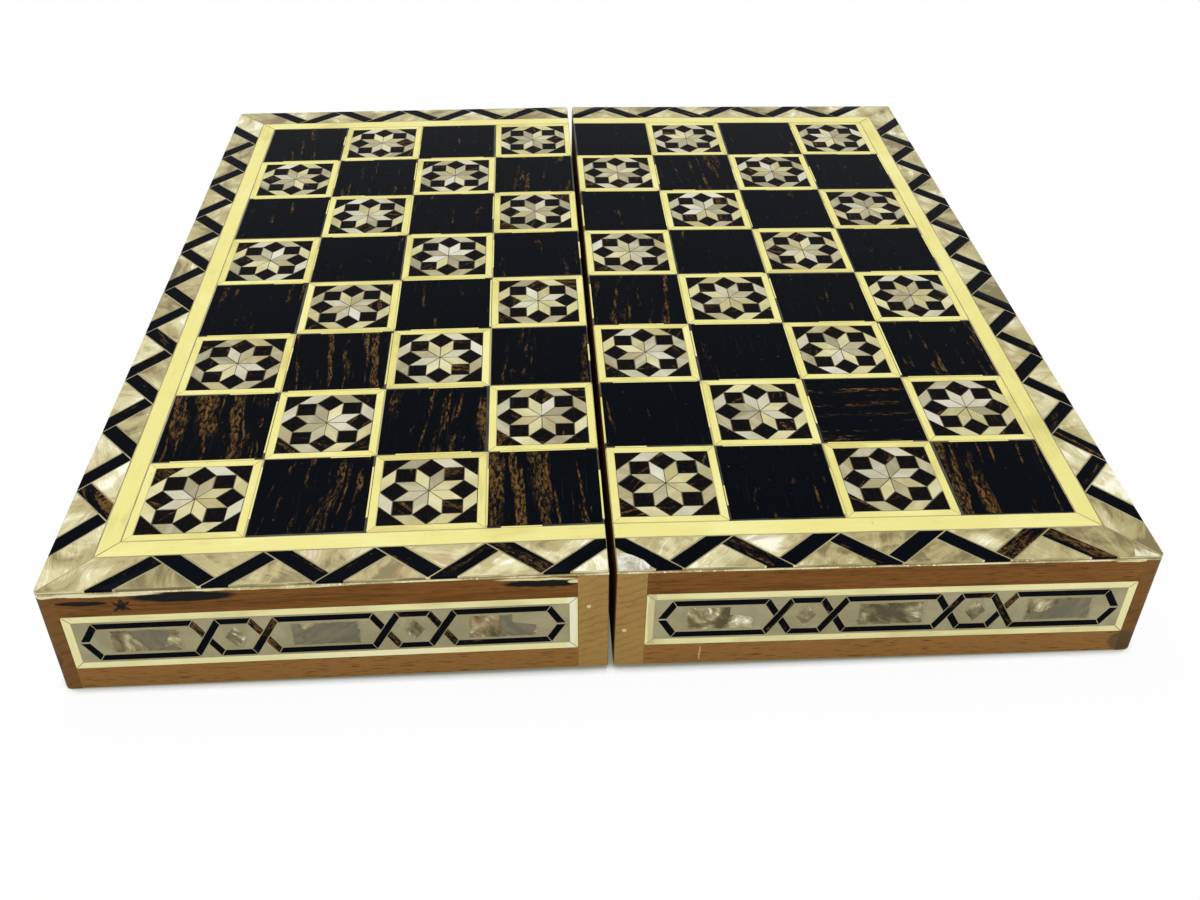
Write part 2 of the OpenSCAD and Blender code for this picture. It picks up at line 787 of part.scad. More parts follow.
outer_wall(LEFT);  // left_outer_wall
hinge_wall(LEFT);  // left_hinge_wall
front_wall(LEFT);  // left_front_wall
back_wall(LEFT);  // left_back_wall
base_panel(LEFT);  // left_base_panel
inlay_bed(LEFT);  // left_inlay_bed
ebony_squares(LEFT);  // left_ebony_squares
star_frames(LEFT);  // left_star_frames
star_points(LEFT);  // left_star_points
star_squares(LEFT);  // left_star_squares
star_rims(LEFT);  // left_star_rims
star_corners(LEFT);  // left_star_corners
field_band(LEFT);  // left_field_band
border_strips(LEFT);  // left_border_strips
border_pearls(LEFT);  // left_border_pearls
wall_bands(LEFT);  // left_wall_bands
wall_fields(LEFT);  // left_wall_fields
wall_strips(LEFT);  // left_wall_strips
wall_plaques(LEFT);  // left_wall_plaques
tray_ground(LEFT);  // left_tray_ground
dark_points(LEFT);  // left_dark_points
light_points(LEFT);  // left_light_points
tray_lines(LEFT);  // left_tray_lines
wall_pins(LEFT);  // left_wall_pins
hinge_leaves(LEFT);  // left_hinge_leaves
hinge_screws(LEFT);  // left_hinge_screws
outer_wall(RIGHT);  // right_outer_wall
hinge_wall(RIGHT);  // right_hinge_wall
front_wall(RIGHT);  // right_front_wall
back_wall(RIGHT);  // right_back_wall
base_panel(RIGHT);  // right_base_panel
inlay_bed(RIGHT);  // right_inlay_bed
ebony_squares(RIGHT);  // right_ebony_squares
star_frames(RIGHT);  // right_star_frames
star_points(RIGHT);  // right_star_points
star_squares(RIGHT);  // right_star_squares
star_rims(RIGHT);  // right_star_rims
star_corners(RIGHT);  // right_star_corners
field_band(RIGHT);  // right_field_band
border_strips(RIGHT);  // right_border_strips
border_pearls(RIGHT);  // right_border_pearls
wall_bands(RIGHT);  // right_wall_bands
wall_fields(RIGHT);  // right_wall_fields
wall_strips(RIGHT);  // right_wall_strips
wall_plaques(RIGHT);  // right_wall_plaques
tray_ground(RIGHT);  // right_tray_ground
dark_points(RIGHT);  // right_dark_points
light_points(RIGHT);  // right_light_points
tray_lines(RIGHT);  // right_tray_lines
wall_pins(RIGHT);  // right_wall_pins
hinge_leaves(RIGHT);  // right_hinge_leaves
hinge_screws(RIGHT);  // right_hinge_screws
hinge_pins();
latch_hook();
latch_pivot();
latch_catch();
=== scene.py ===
"""Dresses a folding chess and backgammon board: two inlaid wooden trays, hinged along their middle.

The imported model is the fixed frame. Its inlaid pieces are laid again by hand, as it were: each one
gets softened edges, a slight lean of its own and its own tone, so that shell and ebony catch the
light piece by piece. X runs across the hinge line, Y along it and Z up, in metres. The halves droop
from the hinge to their outer rims, so sizes of one half are given level and are placed by Half.
"""

from __future__ import annotations

import json
import logging
import math
from dataclasses import dataclass
from enum import Enum
from typing import Callable, Iterable, Sequence

import bmesh
import bpy
import numpy as np
from mathutils import Matrix, Vector

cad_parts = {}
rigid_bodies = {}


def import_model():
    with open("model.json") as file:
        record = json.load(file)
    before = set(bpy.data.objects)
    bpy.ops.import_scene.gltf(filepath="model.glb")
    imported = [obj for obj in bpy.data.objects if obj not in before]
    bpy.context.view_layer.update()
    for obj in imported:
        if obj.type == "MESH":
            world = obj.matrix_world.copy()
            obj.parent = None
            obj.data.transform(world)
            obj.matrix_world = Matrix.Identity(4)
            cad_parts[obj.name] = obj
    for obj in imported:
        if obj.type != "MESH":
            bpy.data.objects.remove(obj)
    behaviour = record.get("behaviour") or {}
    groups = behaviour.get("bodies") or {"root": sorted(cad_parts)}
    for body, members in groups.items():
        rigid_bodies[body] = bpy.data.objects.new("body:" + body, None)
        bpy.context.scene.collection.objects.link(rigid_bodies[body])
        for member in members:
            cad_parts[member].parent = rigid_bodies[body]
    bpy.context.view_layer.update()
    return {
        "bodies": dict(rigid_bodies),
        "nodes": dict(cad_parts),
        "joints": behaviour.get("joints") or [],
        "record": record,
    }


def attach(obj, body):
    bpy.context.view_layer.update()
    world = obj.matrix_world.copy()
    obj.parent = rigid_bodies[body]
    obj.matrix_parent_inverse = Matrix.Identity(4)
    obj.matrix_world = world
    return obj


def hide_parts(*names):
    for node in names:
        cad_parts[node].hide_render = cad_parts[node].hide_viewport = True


LOG = logging.getLogger("board")
MM = 0.001
# Attributes that the laid pieces carry
TONE, GRAIN, RIM, FIGURE, PIECE = "tone", "grain", "rim", "figure", "piece"
# Blender's names of the socket types
FLOAT, INTEGER, VECTOR, SHAPE = "NodeSocketFloat", "NodeSocketInt", "NodeSocketVector", "NodeSocketGeometry"
ORIGIN, MIDDLE = (0.0, 0.0, 0.0), (0.5, 0.5, 0.5)
QUARTER = (0, 0, math.pi / 2)
# The front face, in millimetres
FRONT = -147.8
# How near points are merged, in metres, and the angles of a flat and of a sharp edge
WELD, FLAT, SHARP = 0.000002, math.radians(0.5), math.radians(20)
# What each random draw adds to its tree's seed
SWING_SEED, SLIP_SEED, RISE_SEED, TONE_SEED = 0.0, 11.0, 23.0, 37.0

Colour = tuple[float, float, float]
Point = tuple[float, float]
Spot = tuple[float, float, float]
Rule = Callable[[Vector], float]


class Side(Enum):
    """The two halves of the board."""

    LEFT = -1
    RIGHT = 1

    @property
    def body(self) -> str:
        """The CAD body that the half's pieces ride on."""
        return self.node("half")

    def node(self, name: str) -> str:
        """The name of the half's CAD node of that kind."""
        return f"{self.name.lower()}_{name}"


class Along(Enum):
    """The axis that the grain of a piece of wood follows."""

    X = 0
    Y = 1


class Lay(Enum):
    """How the grain of inlaid pieces is laid."""

    LENGTH = "along each piece"
    ANY = "each piece its own way"
    DEEP = "from the front to the back"


def srgb(*steps: int) -> Colour:
    """Turns a colour as it is seen into the linear colour that a shader takes.

    Args:
        steps: Red, green and blue, each from 0 to 255.

    Returns:
        The linear colour.
    """
    values = (step / 255 for step in steps)
    return tuple(v / 12.92 if v <= 0.04045 else ((v + 0.055) / 1.055) ** 2.4 for v in values)


# Node trees


def step(operation: str, swapped: bool = False) -> Callable[..., Flow]:
    """Makes a method of Flow that adds a Math node, or a Vector Math node to a vector.

    Args:
        operation: Blender's name of the operation.
        swapped: True to put the flow behind the other value.

    Returns:
        The method.
    """
    def method(flow: Flow, *others: object) -> Flow:
        """Adds the node and returns its result.

        Args:
            flow: The flow that the method is called on.
            others: The other values.

        Returns:
            The result.
        """
        w = Wiring(flow.socket.id_data)
        values = dict(enumerate((*others, flow) if swapped else (flow, *others)))
        if flow.socket.type not in ("VECTOR", "RGBA"):
            return w.add("ShaderNodeMath", values, operation=operation)[0]
        if operation == "MULTIPLY" and not isinstance(others[0], tuple):
            return w.add("ShaderNodeVectorMath", {0: flow, "Scale": others[0]}, operation="SCALE")[0]
        gives_value = operation in ("LENGTH", "DOT_PRODUCT")
        return w.add("ShaderNodeVectorMath", values, operation=operation)[int(gives_value)]

    return method


class Flow:
    """An output of a node. Arithmetic on it adds the Math nodes that it stands for."""

    def __init__(self, socket: bpy.types.NodeSocket) -> None:
        """Keeps the output.

        Args:
            socket: The node's output.
        """
        self.socket = socket

    __add__, __sub__, __mul__, __truediv__ = step("ADD"), step("SUBTRACT"), step("MULTIPLY"), step("DIVIDE")
    __rsub__, __rtruediv__ = step("SUBTRACT", True), step("DIVIDE", True)
    __abs__, sign, floor, fract = step("ABSOLUTE"), step("SIGN"), step("FLOOR"), step("FRACT")
    above, below, most, line = step("GREATER_THAN"), step("LESS_THAN"), step("MAXIMUM"), step("MULTIPLY_ADD")
    dot, cross, length = step("DOT_PRODUCT"), step("CROSS_PRODUCT"), step("LENGTH")
    pingpong = step("PINGPONG")

    def ramp(self, low: float, high: float, start: float = 0, end: float = 1) -> Flow:
        """Fits the value smoothly from low..high to start..end, clamped.

        Args:
            low: The value that gives start.
            high: The value that gives end.
            start: The result at low.
            end: The result at high.

        Returns:
            The fitted value.
        """
        w = Wiring(self.socket.id_data)
        values = {"Value": self, "From Min": low, "From Max": high, "To Min": start, "To Max": end}
        return w.add("ShaderNodeMapRange", values, interpolation_type="SMOOTHSTEP")["Result"]


class Made:
    """A node that was added. Its outputs are read by name or number."""

    def __init__(self, node: bpy.types.Node) -> None:
        """Keeps the node.

        Args:
            node: The node.
        """
        self.node = node

    def __getitem__(self, key: str | int) -> Flow:
        """The output of that name or number."""
        return Flow(self.node.outputs[key])


class Wiring:
    """Short calls to add nodes to a node tree and to join them."""

    def __init__(self, tree: bpy.types.NodeTree) -> None:
        """Keeps the tree that the calls work on.

        Args:
            tree: The shader, group or geometry tree.
        """
        self.tree = tree

    def add(self, kind: str, inputs: dict | None = None, **settings: object) -> Made:
        """Adds a node.

        Args:
            kind: Blender's name of the node type.
            inputs: Input name or number to a constant or to the Flow that feeds it.
            settings: The node's own settings.

        Returns:
            The new node.
        """
        node = self.tree.nodes.new(kind)
        for name, value in settings.items():
            setattr(node, name, value)
        for name, value in (inputs or {}).items():
            target = node.inputs[name]
            if isinstance(value, Flow):
                self.tree.links.new(value.socket, target)
            else:
                target.default_value = (*value[:3], 1) if target.type == "RGBA" else value
        return Made(node)

    def mix(self, factor: object, first: object, second: object) -> Flow:
        """Mixes two colours by how much of the second shows."""
        values = {0: factor, 6: first, 7: second}
        return self.add("ShaderNodeMix", values, data_type="RGBA", clamp_factor=True)[2]

    def noise(
        self, place: object, scale: object, detail: float = 3, rough: float = 0.5, warp: float = 0,
        output: str = "Fac",
    ) -> Flow:
        """Adds a Noise Texture.

        Args:
            place: Where it is read.
            scale: Features to the metre, roughly.
            detail: Octaves.
            rough: Strength of the finer octaves.
            warp: Distortion.
            output: Fac, or Color for a vector.

        Returns:
            The noise.
        """
        values = {"Vector": place, "Scale": scale, "Detail": detail, "Roughness": rough, "Distortion": warp}
        return self.add("ShaderNodeTexNoise", values)[output]

    def streaks(
        self, place: Flow, along: float, across: float, detail: float = 3, rough: float = 0.5,
        warp: float = 0,
    ) -> Flow:
        """Adds a noise with its own scale along X, and another across it."""
        return self.noise(place * (along, across, across), 1.0, detail, rough, warp)

    def place(self, output: str = "Object") -> Flow:
        """The place on the object, or its Normal."""
        return self.add("ShaderNodeTexCoord")[output]

    def attribute(self, name: str, output: str = "Fac") -> Flow:
        """A stored attribute, as a value or as a Vector."""
        return self.add("ShaderNodeAttribute", attribute_name=name)[output]

    def parts(self, vector: object) -> Made:
        """Splits a vector into its three values."""
        return self.add("ShaderNodeSeparateXYZ", {0: vector})

    def turned(self, vector: Flow, rotation: Spot, scale: Spot = (1, 1, 1), kind: str = "POINT") -> Flow:
        """Turns and scales a vector."""
        values = {"Vector": vector, "Rotation": rotation, "Scale": scale}
        return self.add("ShaderNodeMapping", values, vector_type=kind)[0]

    def bump(self, height: object, distance: float, strength: float = 1.0) -> Flow:
        """Turns a height into a bent normal."""
        values = {"Height": height, "Distance": distance, "Strength": strength}
        return self.add("ShaderNodeBump", values)["Normal"]


def shader_group(**inputs: object) -> Callable:
    """Makes a function that wires a group into one that places the group, which is made once.

    Args:
        inputs: The group's inputs and their defaults. An underscore stands for a space.

    Returns:
        The decorator. The function that it gives takes a wiring and the inputs, and returns the placed node.
    """
    def decorate(build: Callable[[Wiring, Made], dict[str, Flow]]) -> Callable[..., Made]:
        """Wraps one function.

        Args:
            build: The function that wires the group.

        Returns:
            The function that places the group.
        """
        name = build.__name__.removesuffix("_group")

        def make() -> bpy.types.NodeTree:
            """Makes the group's tree."""
            tree = bpy.data.node_groups.new(name, "ShaderNodeTree")
            for label, default in inputs.items():
                kind = VECTOR if isinstance(default, tuple) else FLOAT
                socket = tree.interface.new_socket(label.replace("_", " "), in_out="INPUT", socket_type=kind)
                socket.default_value = default
            w = Wiring(tree)
            results = build(w, w.add("NodeGroupInput"))
            for label, flow in results.items():
                kind = VECTOR if flow.socket.type == "VECTOR" else FLOAT
                tree.interface.new_socket(label, in_out="OUTPUT", socket_type=kind)
            w.add("NodeGroupOutput", results)
            return tree

        def place(w: Wiring, **values: object) -> Made:
            """Places the group in a tree."""
            named = {label.replace("_", " "): value for label, value in values.items()}
            return w.add("ShaderNodeGroup", named, node_tree=bpy.data.node_groups.get(name) or make())

        return place

    return decorate


@shader_group()
def piece_place_group(w: Wiring, entry: Made) -> dict[str, Flow]:
    """Gives each inlaid piece its tone and figure, and a place whose X runs along the piece's own grain.

    Args:
        w: The wiring of the tree.
        entry: The tree's inputs; not used.

    Returns:
        The group's outputs, by name.
    """
    place, grain, tone = w.place(), w.attribute(GRAIN, "Vector"), w.attribute(TONE)
    across = w.place("Normal").cross(grain)
    own = w.add("ShaderNodeCombineXYZ", {0: place.dot(grain), 1: place.dot(across), 2: tone * 7.0})[0]
    return {"Place": own, "Tone": tone, "Figure": w.attribute(FIGURE)}


@shader_group(Place=ORIGIN)
def nacre_group(w: Wiring, entry: Made) -> dict[str, Flow]:
    """Mother-of-pearl's soft patches, its silky streaks along X of the place, fine fibre and glints that
    mark painted highlights.

    Args:
        w: The wiring of the tree.
        entry: The tree's inputs.

    Returns:
        The group's outputs, by name.
    """
    place = entry["Place"]
    bent = place + w.noise(place, 60.0, 2, output="Color") * 0.008
    patches = w.noise(bent, 62.0, 4, 0.55, 0.9)
    silk = w.streaks(bent, 55, 240, 2, 0.5, 0.4)
    fibre = w.streaks(bent, 130, 2000, 3, 0.6)
    sheen = w.streaks(bent, 50, 520, 3, 0.6, 0.2)
    # The mask of glints: where the pearl's colour takes on painted highlights of its sheen.
    glints = (sheen + (fibre - 0.5) * 0.25).ramp(0.56, 0.68) * patches.ramp(0.47, 0.6)
    return {"Patches": patches, "Silk": silk, "Fibre": fibre, "Glints": glints}


@shader_group(Place=ORIGIN, Figure=0.3)
def heartwood_group(w: Wiring, entry: Made) -> dict[str, Flow]:
    """Streaks of brown heartwood along X of the place: mottled columns and thin lines of specks.

    Args:
        w: The wiring of the tree.
        entry: The tree's inputs.

    Returns:
        The group's outputs, by name.
    """
    place, figure = entry["Place"], entry["Figure"]
    bent = place + (w.noise(place, 70.0, output="Color") - MIDDLE) * 0.003
    columns = w.streaks(bent, 18, 150, 2, 0.5, 0.2) + (w.streaks(bent, 150, 900, 4, 0.65) - 0.5) * 0.36
    zone = (columns - figure.line(-0.17, 0.74)).ramp(-0.02, 0.1)
    mottle = w.streaks(bent, 460, 1300, 4, 0.7, 0.3)
    thin = w.streaks(bent, 14, 400, 2, 0.5, 0.1).ramp(0.56, 0.63)
    where = figure.line(0.3, w.streaks(bent, 90, 200, 3, 0.6)).ramp(0.56, 0.72)
    vein = thin * (where * mottle.ramp(0.4, 0.56))
    warmth = w.streaks(bent, 30, 190, 2).ramp(0.52, 0.66).most(vein * 0.3)
    return {"Mark": (zone * mottle.ramp(0.38, 0.62)).most(vein), "Mottle": mottle, "Warmth": warmth}


@shader_group(Amount=0.5, Scale=400.0)
def edge_group(w: Wiring, entry: Made) -> dict[str, Flow]:
    """Masks the rounded edges of a piece, broken up by a noise, for grime or wear.

    Args:
        w: The wiring of the tree.
        entry: The tree's inputs.

    Returns:
        The group's outputs, by name.
    """
    parts = w.parts(abs(w.place("Normal")))
    bend = (1.0 - parts[0].most(parts[1]).most(parts[2])).ramp(0.004, 0.14)
    speck = w.noise(w.place(), entry["Scale"], 4, 0.6)
    return {"Mask": bend * (speck + entry["Amount"] * 0.5).ramp(0.45, 0.75)}


@shader_group()
def polish_group(w: Wiring, entry: Made) -> dict[str, Flow]:
    """Fine scratches, dust specks and soft smears of a hand-polished surface.

    Args:
        w: The wiring of the tree.
        entry: The tree's inputs; not used.

    Returns:
        The group's outputs, by name.
    """
    place, scratch = w.place(), None
    for angle, stretch in ((0.5, 55.0), (-0.9, 70.0), (2.1, 60.0)):
        turned = w.turned(place, (0, 0, angle), (1600, stretch, 1600))
        fine = w.noise(turned, 1.0, 1, 0.4, 0.2).ramp(0.69, 0.74)
        scratch = scratch.most(fine) if scratch else fine
    patches = w.noise(place, 60.0, 3, 0.6).ramp(0.45, 0.65)
    smears, specks = w.noise(place, 35.0, 4, 0.55, 0.8), w.noise(place, 900.0, 2).ramp(0.74, 0.78)
    return {"Scratches": scratch * patches, "Smears": smears, "Specks": specks}


@shader_group(Place=ORIGIN)
def grain_group(w: Wiring, entry: Made) -> dict[str, Flow]:
    """Long grain that runs along X of the given place: soft bands, fine fibre and short dark flecks.

    Args:
        w: The wiring of the tree.
        entry: The tree's inputs.

    Returns:
        The group's outputs, by name.
    """
    place = entry["Place"]
    bent = place + w.noise(place, 14.0, 2, output="Color") * 0.004
    bands, fibre = w.streaks(bent, 9, 160, 4, 0.6, 0.3), w.streaks(place, 60, 1500, 3, 0.6)
    return {"Bands": bands, "Fibre": fibre, "Flecks": w.streaks(place, 210, 4200, 2).ramp(0.6, 0.68)}


@shader_group(Centre=ORIGIN, Half_Size=(1.0, 1.0, 1.0), Turn=0.0)
def patch_group(w: Wiring, entry: Made) -> dict[str, Flow]:
    """Masks a ragged patch round a centre, for smears of filler.

    Args:
        w: The wiring of the tree.
        entry: The tree's inputs.

    Returns:
        The group's outputs, by name.
    """
    place = w.place()
    ragged = (w.noise(place, 170.0, 3, 0.55, output="Color") - MIDDLE) * 0.0012
    away = {"Vector": place + ragged - entry["Centre"], "Angle": entry["Turn"]}
    turned = w.add("ShaderNodeVectorRotate", away, rotation_type="Y_AXIS")[0]
    return {"Mask": (turned / entry["Half Size"]).length().ramp(1.12, 0.8)}


# Finishes


@dataclass(frozen=True)
class Patch:
    """A smear or stain on the front: its centre and half size in millimetres, and its turn about Y."""

    x: float
    z: float
    wide: float
    tall: float
    colour: Colour = srgb(9, 9, 10)
    strength: float = 1.0
    turn: float = 0.0
    deep: float = 3.0


@dataclass(frozen=True)
class Finish:
    """What all finishes share: a name, the record's slot and the making of a material."""

    name: str = "finish"
    slot: str = "beech"

    def material(self) -> bpy.types.Material:
        """The finish as a Blender material, made at the first call.

        Returns:
            The material.
        """
        made = bpy.data.materials.get(self.name)
        if not made:
            made = bpy.data.materials.new(self.name)
            made.use_nodes = True
            made.node_tree.nodes.clear()
            w = Wiring(made.node_tree)
            shader = w.add("ShaderNodeBsdfPrincipled", self.wire(w))
            w.add("ShaderNodeOutputMaterial", {"Surface": shader[0]})
        return made

    def wire(self, w: Wiring) -> dict[str, object]:
        """Wires the finish's own nodes, and returns what feeds the shader."""
        raise NotImplementedError

    @staticmethod
    def smear(w: Wiring, colour: Flow, patches: Sequence[Patch]) -> Flow:
        """Lays patches over a colour.

        Args:
            w: The wiring of the tree.
            colour: The colour below them.
            patches: The patches.

        Returns:
            The colour with the patches on it.
        """
        for patch in patches:
            centre = (patch.x * MM, FRONT * MM, patch.z * MM)
            size = (patch.wide * MM, patch.deep * MM, patch.tall * MM)
            mask = patch_group(w, Centre=centre, Half_Size=size, Turn=patch.turn)["Mask"]
            colour = w.mix(mask * patch.strength, colour, patch.colour)
        return colour


@dataclass(frozen=True)
class Pearl(Finish):
    """Polished mother-of-pearl in broad pieces: soft patches, silky streaks and pale glints painted as
    highlights.
    """

    slot: str = "pearl"
    dark: Colour = srgb(122, 108, 66)
    body: Colour = srgb(176, 164, 112)
    light: Colour = srgb(210, 202, 156)
    # Painted highlight: the near-white colour that the brightest levels and the glinting streaks take on.
    glint: Colour = srgb(246, 243, 218)
    blush: Colour = srgb(150, 112, 66)
    spread: float = 0.36
    relief: float = 0.0001
    fine: float = 1.0

    def tint(self, w: Wiring, nacre: Made, tone: Flow) -> Flow:
        """Wires the colour from the nacre's patches, silk and glints, painted as highlights, and the piece's
        tone.

        Args:
            w: The wiring of the tree.
            nacre: The nacre group.
            tone: The piece's tone, from 0 to 1.

        Returns:
            The colour.
        """
        level = tone.line(self.spread, 0.5 - 0.5 * self.spread)
        for part, share in (("Patches", 2.1), ("Silk", 0.75), ("Fibre", 0.42)):
            level = level + (nacre[part] - 0.5) * share
        colour = w.mix(level.ramp(0.12, 0.46), self.dark, self.body)
        colour = w.mix(level.ramp(0.46, 0.74), colour, self.light)
        # The brightest levels and the glinting streaks turn to the painted highlight colour.
        colour = w.mix(level.ramp(0.76, 1.02), colour, self.glint)
        colour = w.mix(nacre["Glints"] * level.ramp(0.35, 0.75, 0.2, 0.9), colour, self.glint)
        rare = (tone * 7.3).fract().ramp(0.78, 0.96)
        return w.mix(nacre["Silk"].ramp(0.5, 0.62) * (rare * 0.55), colour, self.blush)

    def wire(self, w: Wiring) -> dict[str, object]:
        """Wires the nacre, its relief and a faint grime at the edges.

        Args:
            w: The wiring of the tree.

        Returns:
            What feeds the shader, by input.
        """
        piece = piece_place_group(w)
        nacre = nacre_group(w, Place=piece["Place"] * self.fine)
        colour = self.tint(w, nacre, piece["Tone"])
        edge = edge_group(w, Amount=0.75, Scale=300.0)["Mask"]
        height = nacre["Patches"] * 1.4 + nacre["Silk"] * 0.8
        return {
            "Base Color": w.mix(edge * 0.3, colour, srgb(120, 112, 88)),
            "Roughness": polish_group(w)["Smears"] * 0.16 + nacre["Fibre"].line(0.14, 0.16),
            "Metallic": 0.1, "Coat Weight": 0.1, "Coat Roughness": 0.08, "Specular IOR Level": 0.3,
            "Normal": w.bump(height, self.relief, 0.8),
        }


@dataclass(frozen=True)
class CutPearl(Pearl):
    """Small cut pieces of pearl, each nearly one tone: grey, white, cream or, rarely, tan."""

    palette: tuple[tuple, ...] = (
        (0.0, 154, 146, 112), (0.14, 178, 172, 138), (0.28, 200, 196, 168), (0.42, 190, 180, 122),
        (0.56, 208, 200, 144), (0.7, 218, 211, 158), (0.82, 170, 160, 118), (0.91, 216, 214, 194),
        (0.985, 176, 162, 106),
    )

    def tint(self, w: Wiring, nacre: Made, tone: Flow) -> Flow:
        """Wires the piece's own tone, darkened in soft clouds as painted satin shading, with a painted silky
        highlight.

        Args:
            w: The wiring of the tree.
            nacre: The nacre group.
            tone: The piece's tone, from 0 to 1.

        Returns:
            The colour.
        """
        ramp = w.add("ShaderNodeValToRGB", {0: tone})
        ramp.node.color_ramp.interpolation = "CONSTANT"
        stops = ramp.node.color_ramp.elements
        while len(stops) < len(self.palette):
            stops.new(1.0)
        for stop, (place, *steps) in zip(stops, self.palette):
            stop.position = place
            stop.color = (*srgb(*steps), 1)
        # Painted shading: darker clouds stand in for the satin sheen that falls off across a piece.
        colour = w.mix(nacre["Patches"].ramp(0.3, 0.7).line(-0.3, 0.3), ramp[0], self.dark)
        # Painted highlight: the silky streaks turn towards the pale highlight colour.
        colour = w.mix(nacre["Silk"].ramp(0.45, 0.7) * 0.2, colour, self.glint)
        return w.mix(nacre["Fibre"].ramp(0.55, 0.7) * 0.12, colour, self.body)


@dataclass(frozen=True)
class Plaque(Pearl):
    """Plaques pieced from shards: shiny nacre beside dull grey, dark seams, and rims lost in filler."""

    grey: Colour = srgb(100, 97, 76)
    dusty: Colour = srgb(120, 114, 86)
    seam: Colour = srgb(84, 64, 36)
    filler: Colour = srgb(150, 142, 105)
    shards: float = 70.0

    def tint(self, w: Wiring, nacre: Made, tone: Flow) -> Flow:
        """Wires the shards over the nacre's own colours.

        Args:
            w: The wiring of the tree.
            nacre: The nacre group.
            tone: The piece's tone, from 0 to 1; not used.

        Returns:
            The colour.
        """
        place = piece_place_group(w)["Place"]
        place = place + w.noise(place, 210.0, 3, 0.6, output="Color") * 0.006
        shards, silk = {"Vector": place, "Scale": self.shards}, nacre["Silk"]
        pick = w.add("ShaderNodeSeparateColor", {0: w.add("ShaderNodeTexVoronoi", shards)["Color"]})
        colour = super().tint(w, nacre, pick[1])
        spot = w.parts(w.attribute(RIM, "Vector"))
        dull = w.mix((silk * 0.6 + nacre["Fibre"] * 0.4).ramp(0.4, 0.62), self.grey, self.dusty)
        colour = w.mix(pick[0].ramp(0.74, 0.76) * (1.0 - spot[2]), colour, dull)
        gap = w.add("ShaderNodeTexVoronoi", shards, feature="DISTANCE_TO_EDGE")[0]
        colour = w.mix(gap.ramp(0.035, 0.01) * silk.ramp(0.5, 0.58) * 0.5, colour, self.seam)
        wide, tall = abs(spot[0]), abs(spot[1])
        rim = wide.most(tall).most(spot[2] * (wide + tall))
        ragged = w.noise(place, 520.0, 3, 0.6) - 0.5
        return w.mix((rim + ragged * 0.3).ramp(0.88, 0.95), colour, self.filler)


@dataclass(frozen=True)
class Ebony(Finish):
    """Polished ebony with streaks of brown heartwood where the piece's figure is strong."""

    slot: str = "ebony"
    black: Colour = srgb(3, 6, 12)
    brown: Colour = srgb(50, 37, 20)
    gold: Colour = srgb(100, 77, 41)
    amber: Colour = srgb(154, 98, 47)
    fine: float = 1.0
    plain: float = 0.0

    def wire(self, w: Wiring) -> dict[str, object]:
        """Wires the heartwood, fine scratches, dust and rubbed edges.

        Args:
            w: The wiring of the tree.

        Returns:
            What feeds the shader, by input.
        """
        piece = piece_place_group(w)
        heart = heartwood_group(w, Place=piece["Place"] * self.fine, Figure=piece["Figure"])
        mottle, mark = heart["Mottle"], heart["Mark"]
        body = w.mix(mottle.ramp(0.45, 0.6) * self.plain, self.black, self.brown)
        warm = w.mix(mottle.ramp(0.42, 0.62), self.brown, self.gold)
        warm = w.mix(heart["Warmth"] * (piece["Figure"] * 0.38), warm, self.amber)
        colour = w.mix(mark, body, warm)
        colour = w.mix(edge_group(w, Amount=0.3, Scale=500.0)["Mask"] * 0.12, colour, srgb(96, 90, 78))
        polish = polish_group(w)
        colour = w.mix(polish["Scratches"] * 0.04, colour, srgb(110, 106, 94))
        return {
            "Base Color": w.mix(polish["Specks"] * 0.3, colour, srgb(140, 132, 106)),
            "Roughness": polish["Smears"].line(0.14, 0.16) + mark * 0.15, "Specular IOR Level": 0.014,
            "Normal": w.bump(mottle * 0.3 - (polish["Scratches"] + mark * 0.3), 0.00002),
        }


@dataclass(frozen=True)
class Boxwood(Finish):
    """Pale yellow strips, faintly fibrous along their length, with grime in the joints and small stains."""

    slot: str = "cream_wood"
    body: Colour = srgb(230, 222, 136)
    pale: Colour = srgb(237, 231, 156)
    deep: Colour = srgb(212, 201, 118)
    stain: Colour = srgb(112, 88, 42)
    grime: float = 0.45
    smears: tuple[Patch, ...] = ()

    def wire(self, w: Wiring) -> dict[str, object]:
        """Wires clouds, long fibre, small stains and the grime of the joints.

        Args:
            w: The wiring of the tree.

        Returns:
            What feeds the shader, by input.
        """
        piece = piece_place_group(w)
        place = piece["Place"]
        clouds = w.noise(place, 45.0, 3, 0.5, 0.6)
        fibre = w.streaks(place, 70, 900, 3, 0.6, 0.2)
        level = clouds * 0.8 + piece["Tone"] * 0.25 + fibre * 0.3
        colour = w.mix(level.ramp(0.46, 0.66), self.deep, self.body)
        colour = w.mix(level.ramp(0.7, 0.9), colour, self.pale)
        colour = w.mix(fibre.ramp(0.66, 0.74) * clouds.ramp(0.46, 0.6) * 0.3, colour, srgb(176, 158, 88))
        spots = w.noise(place, 240.0, 5, 0.72, 0.5).ramp(0.67, 0.74)
        colour = w.mix(spots * 0.5, colour, self.stain)
        edge = edge_group(w, Amount=0.8, Scale=200.0)["Mask"]
        colour = w.mix(edge * self.grime, colour, srgb(132, 112, 66))
        polish = polish_group(w)
        colour = w.mix(polish["Scratches"] * 0.05, colour, srgb(170, 156, 100))
        return {
            "Base Color": self.smear(w, colour, self.smears),
            "Roughness": polish["Smears"].line(0.25, 0.25), "Specular IOR Level": 0.25,
            "Normal": w.bump(fibre * 0.5 - (polish["Scratches"] + spots), 0.00004),
        }


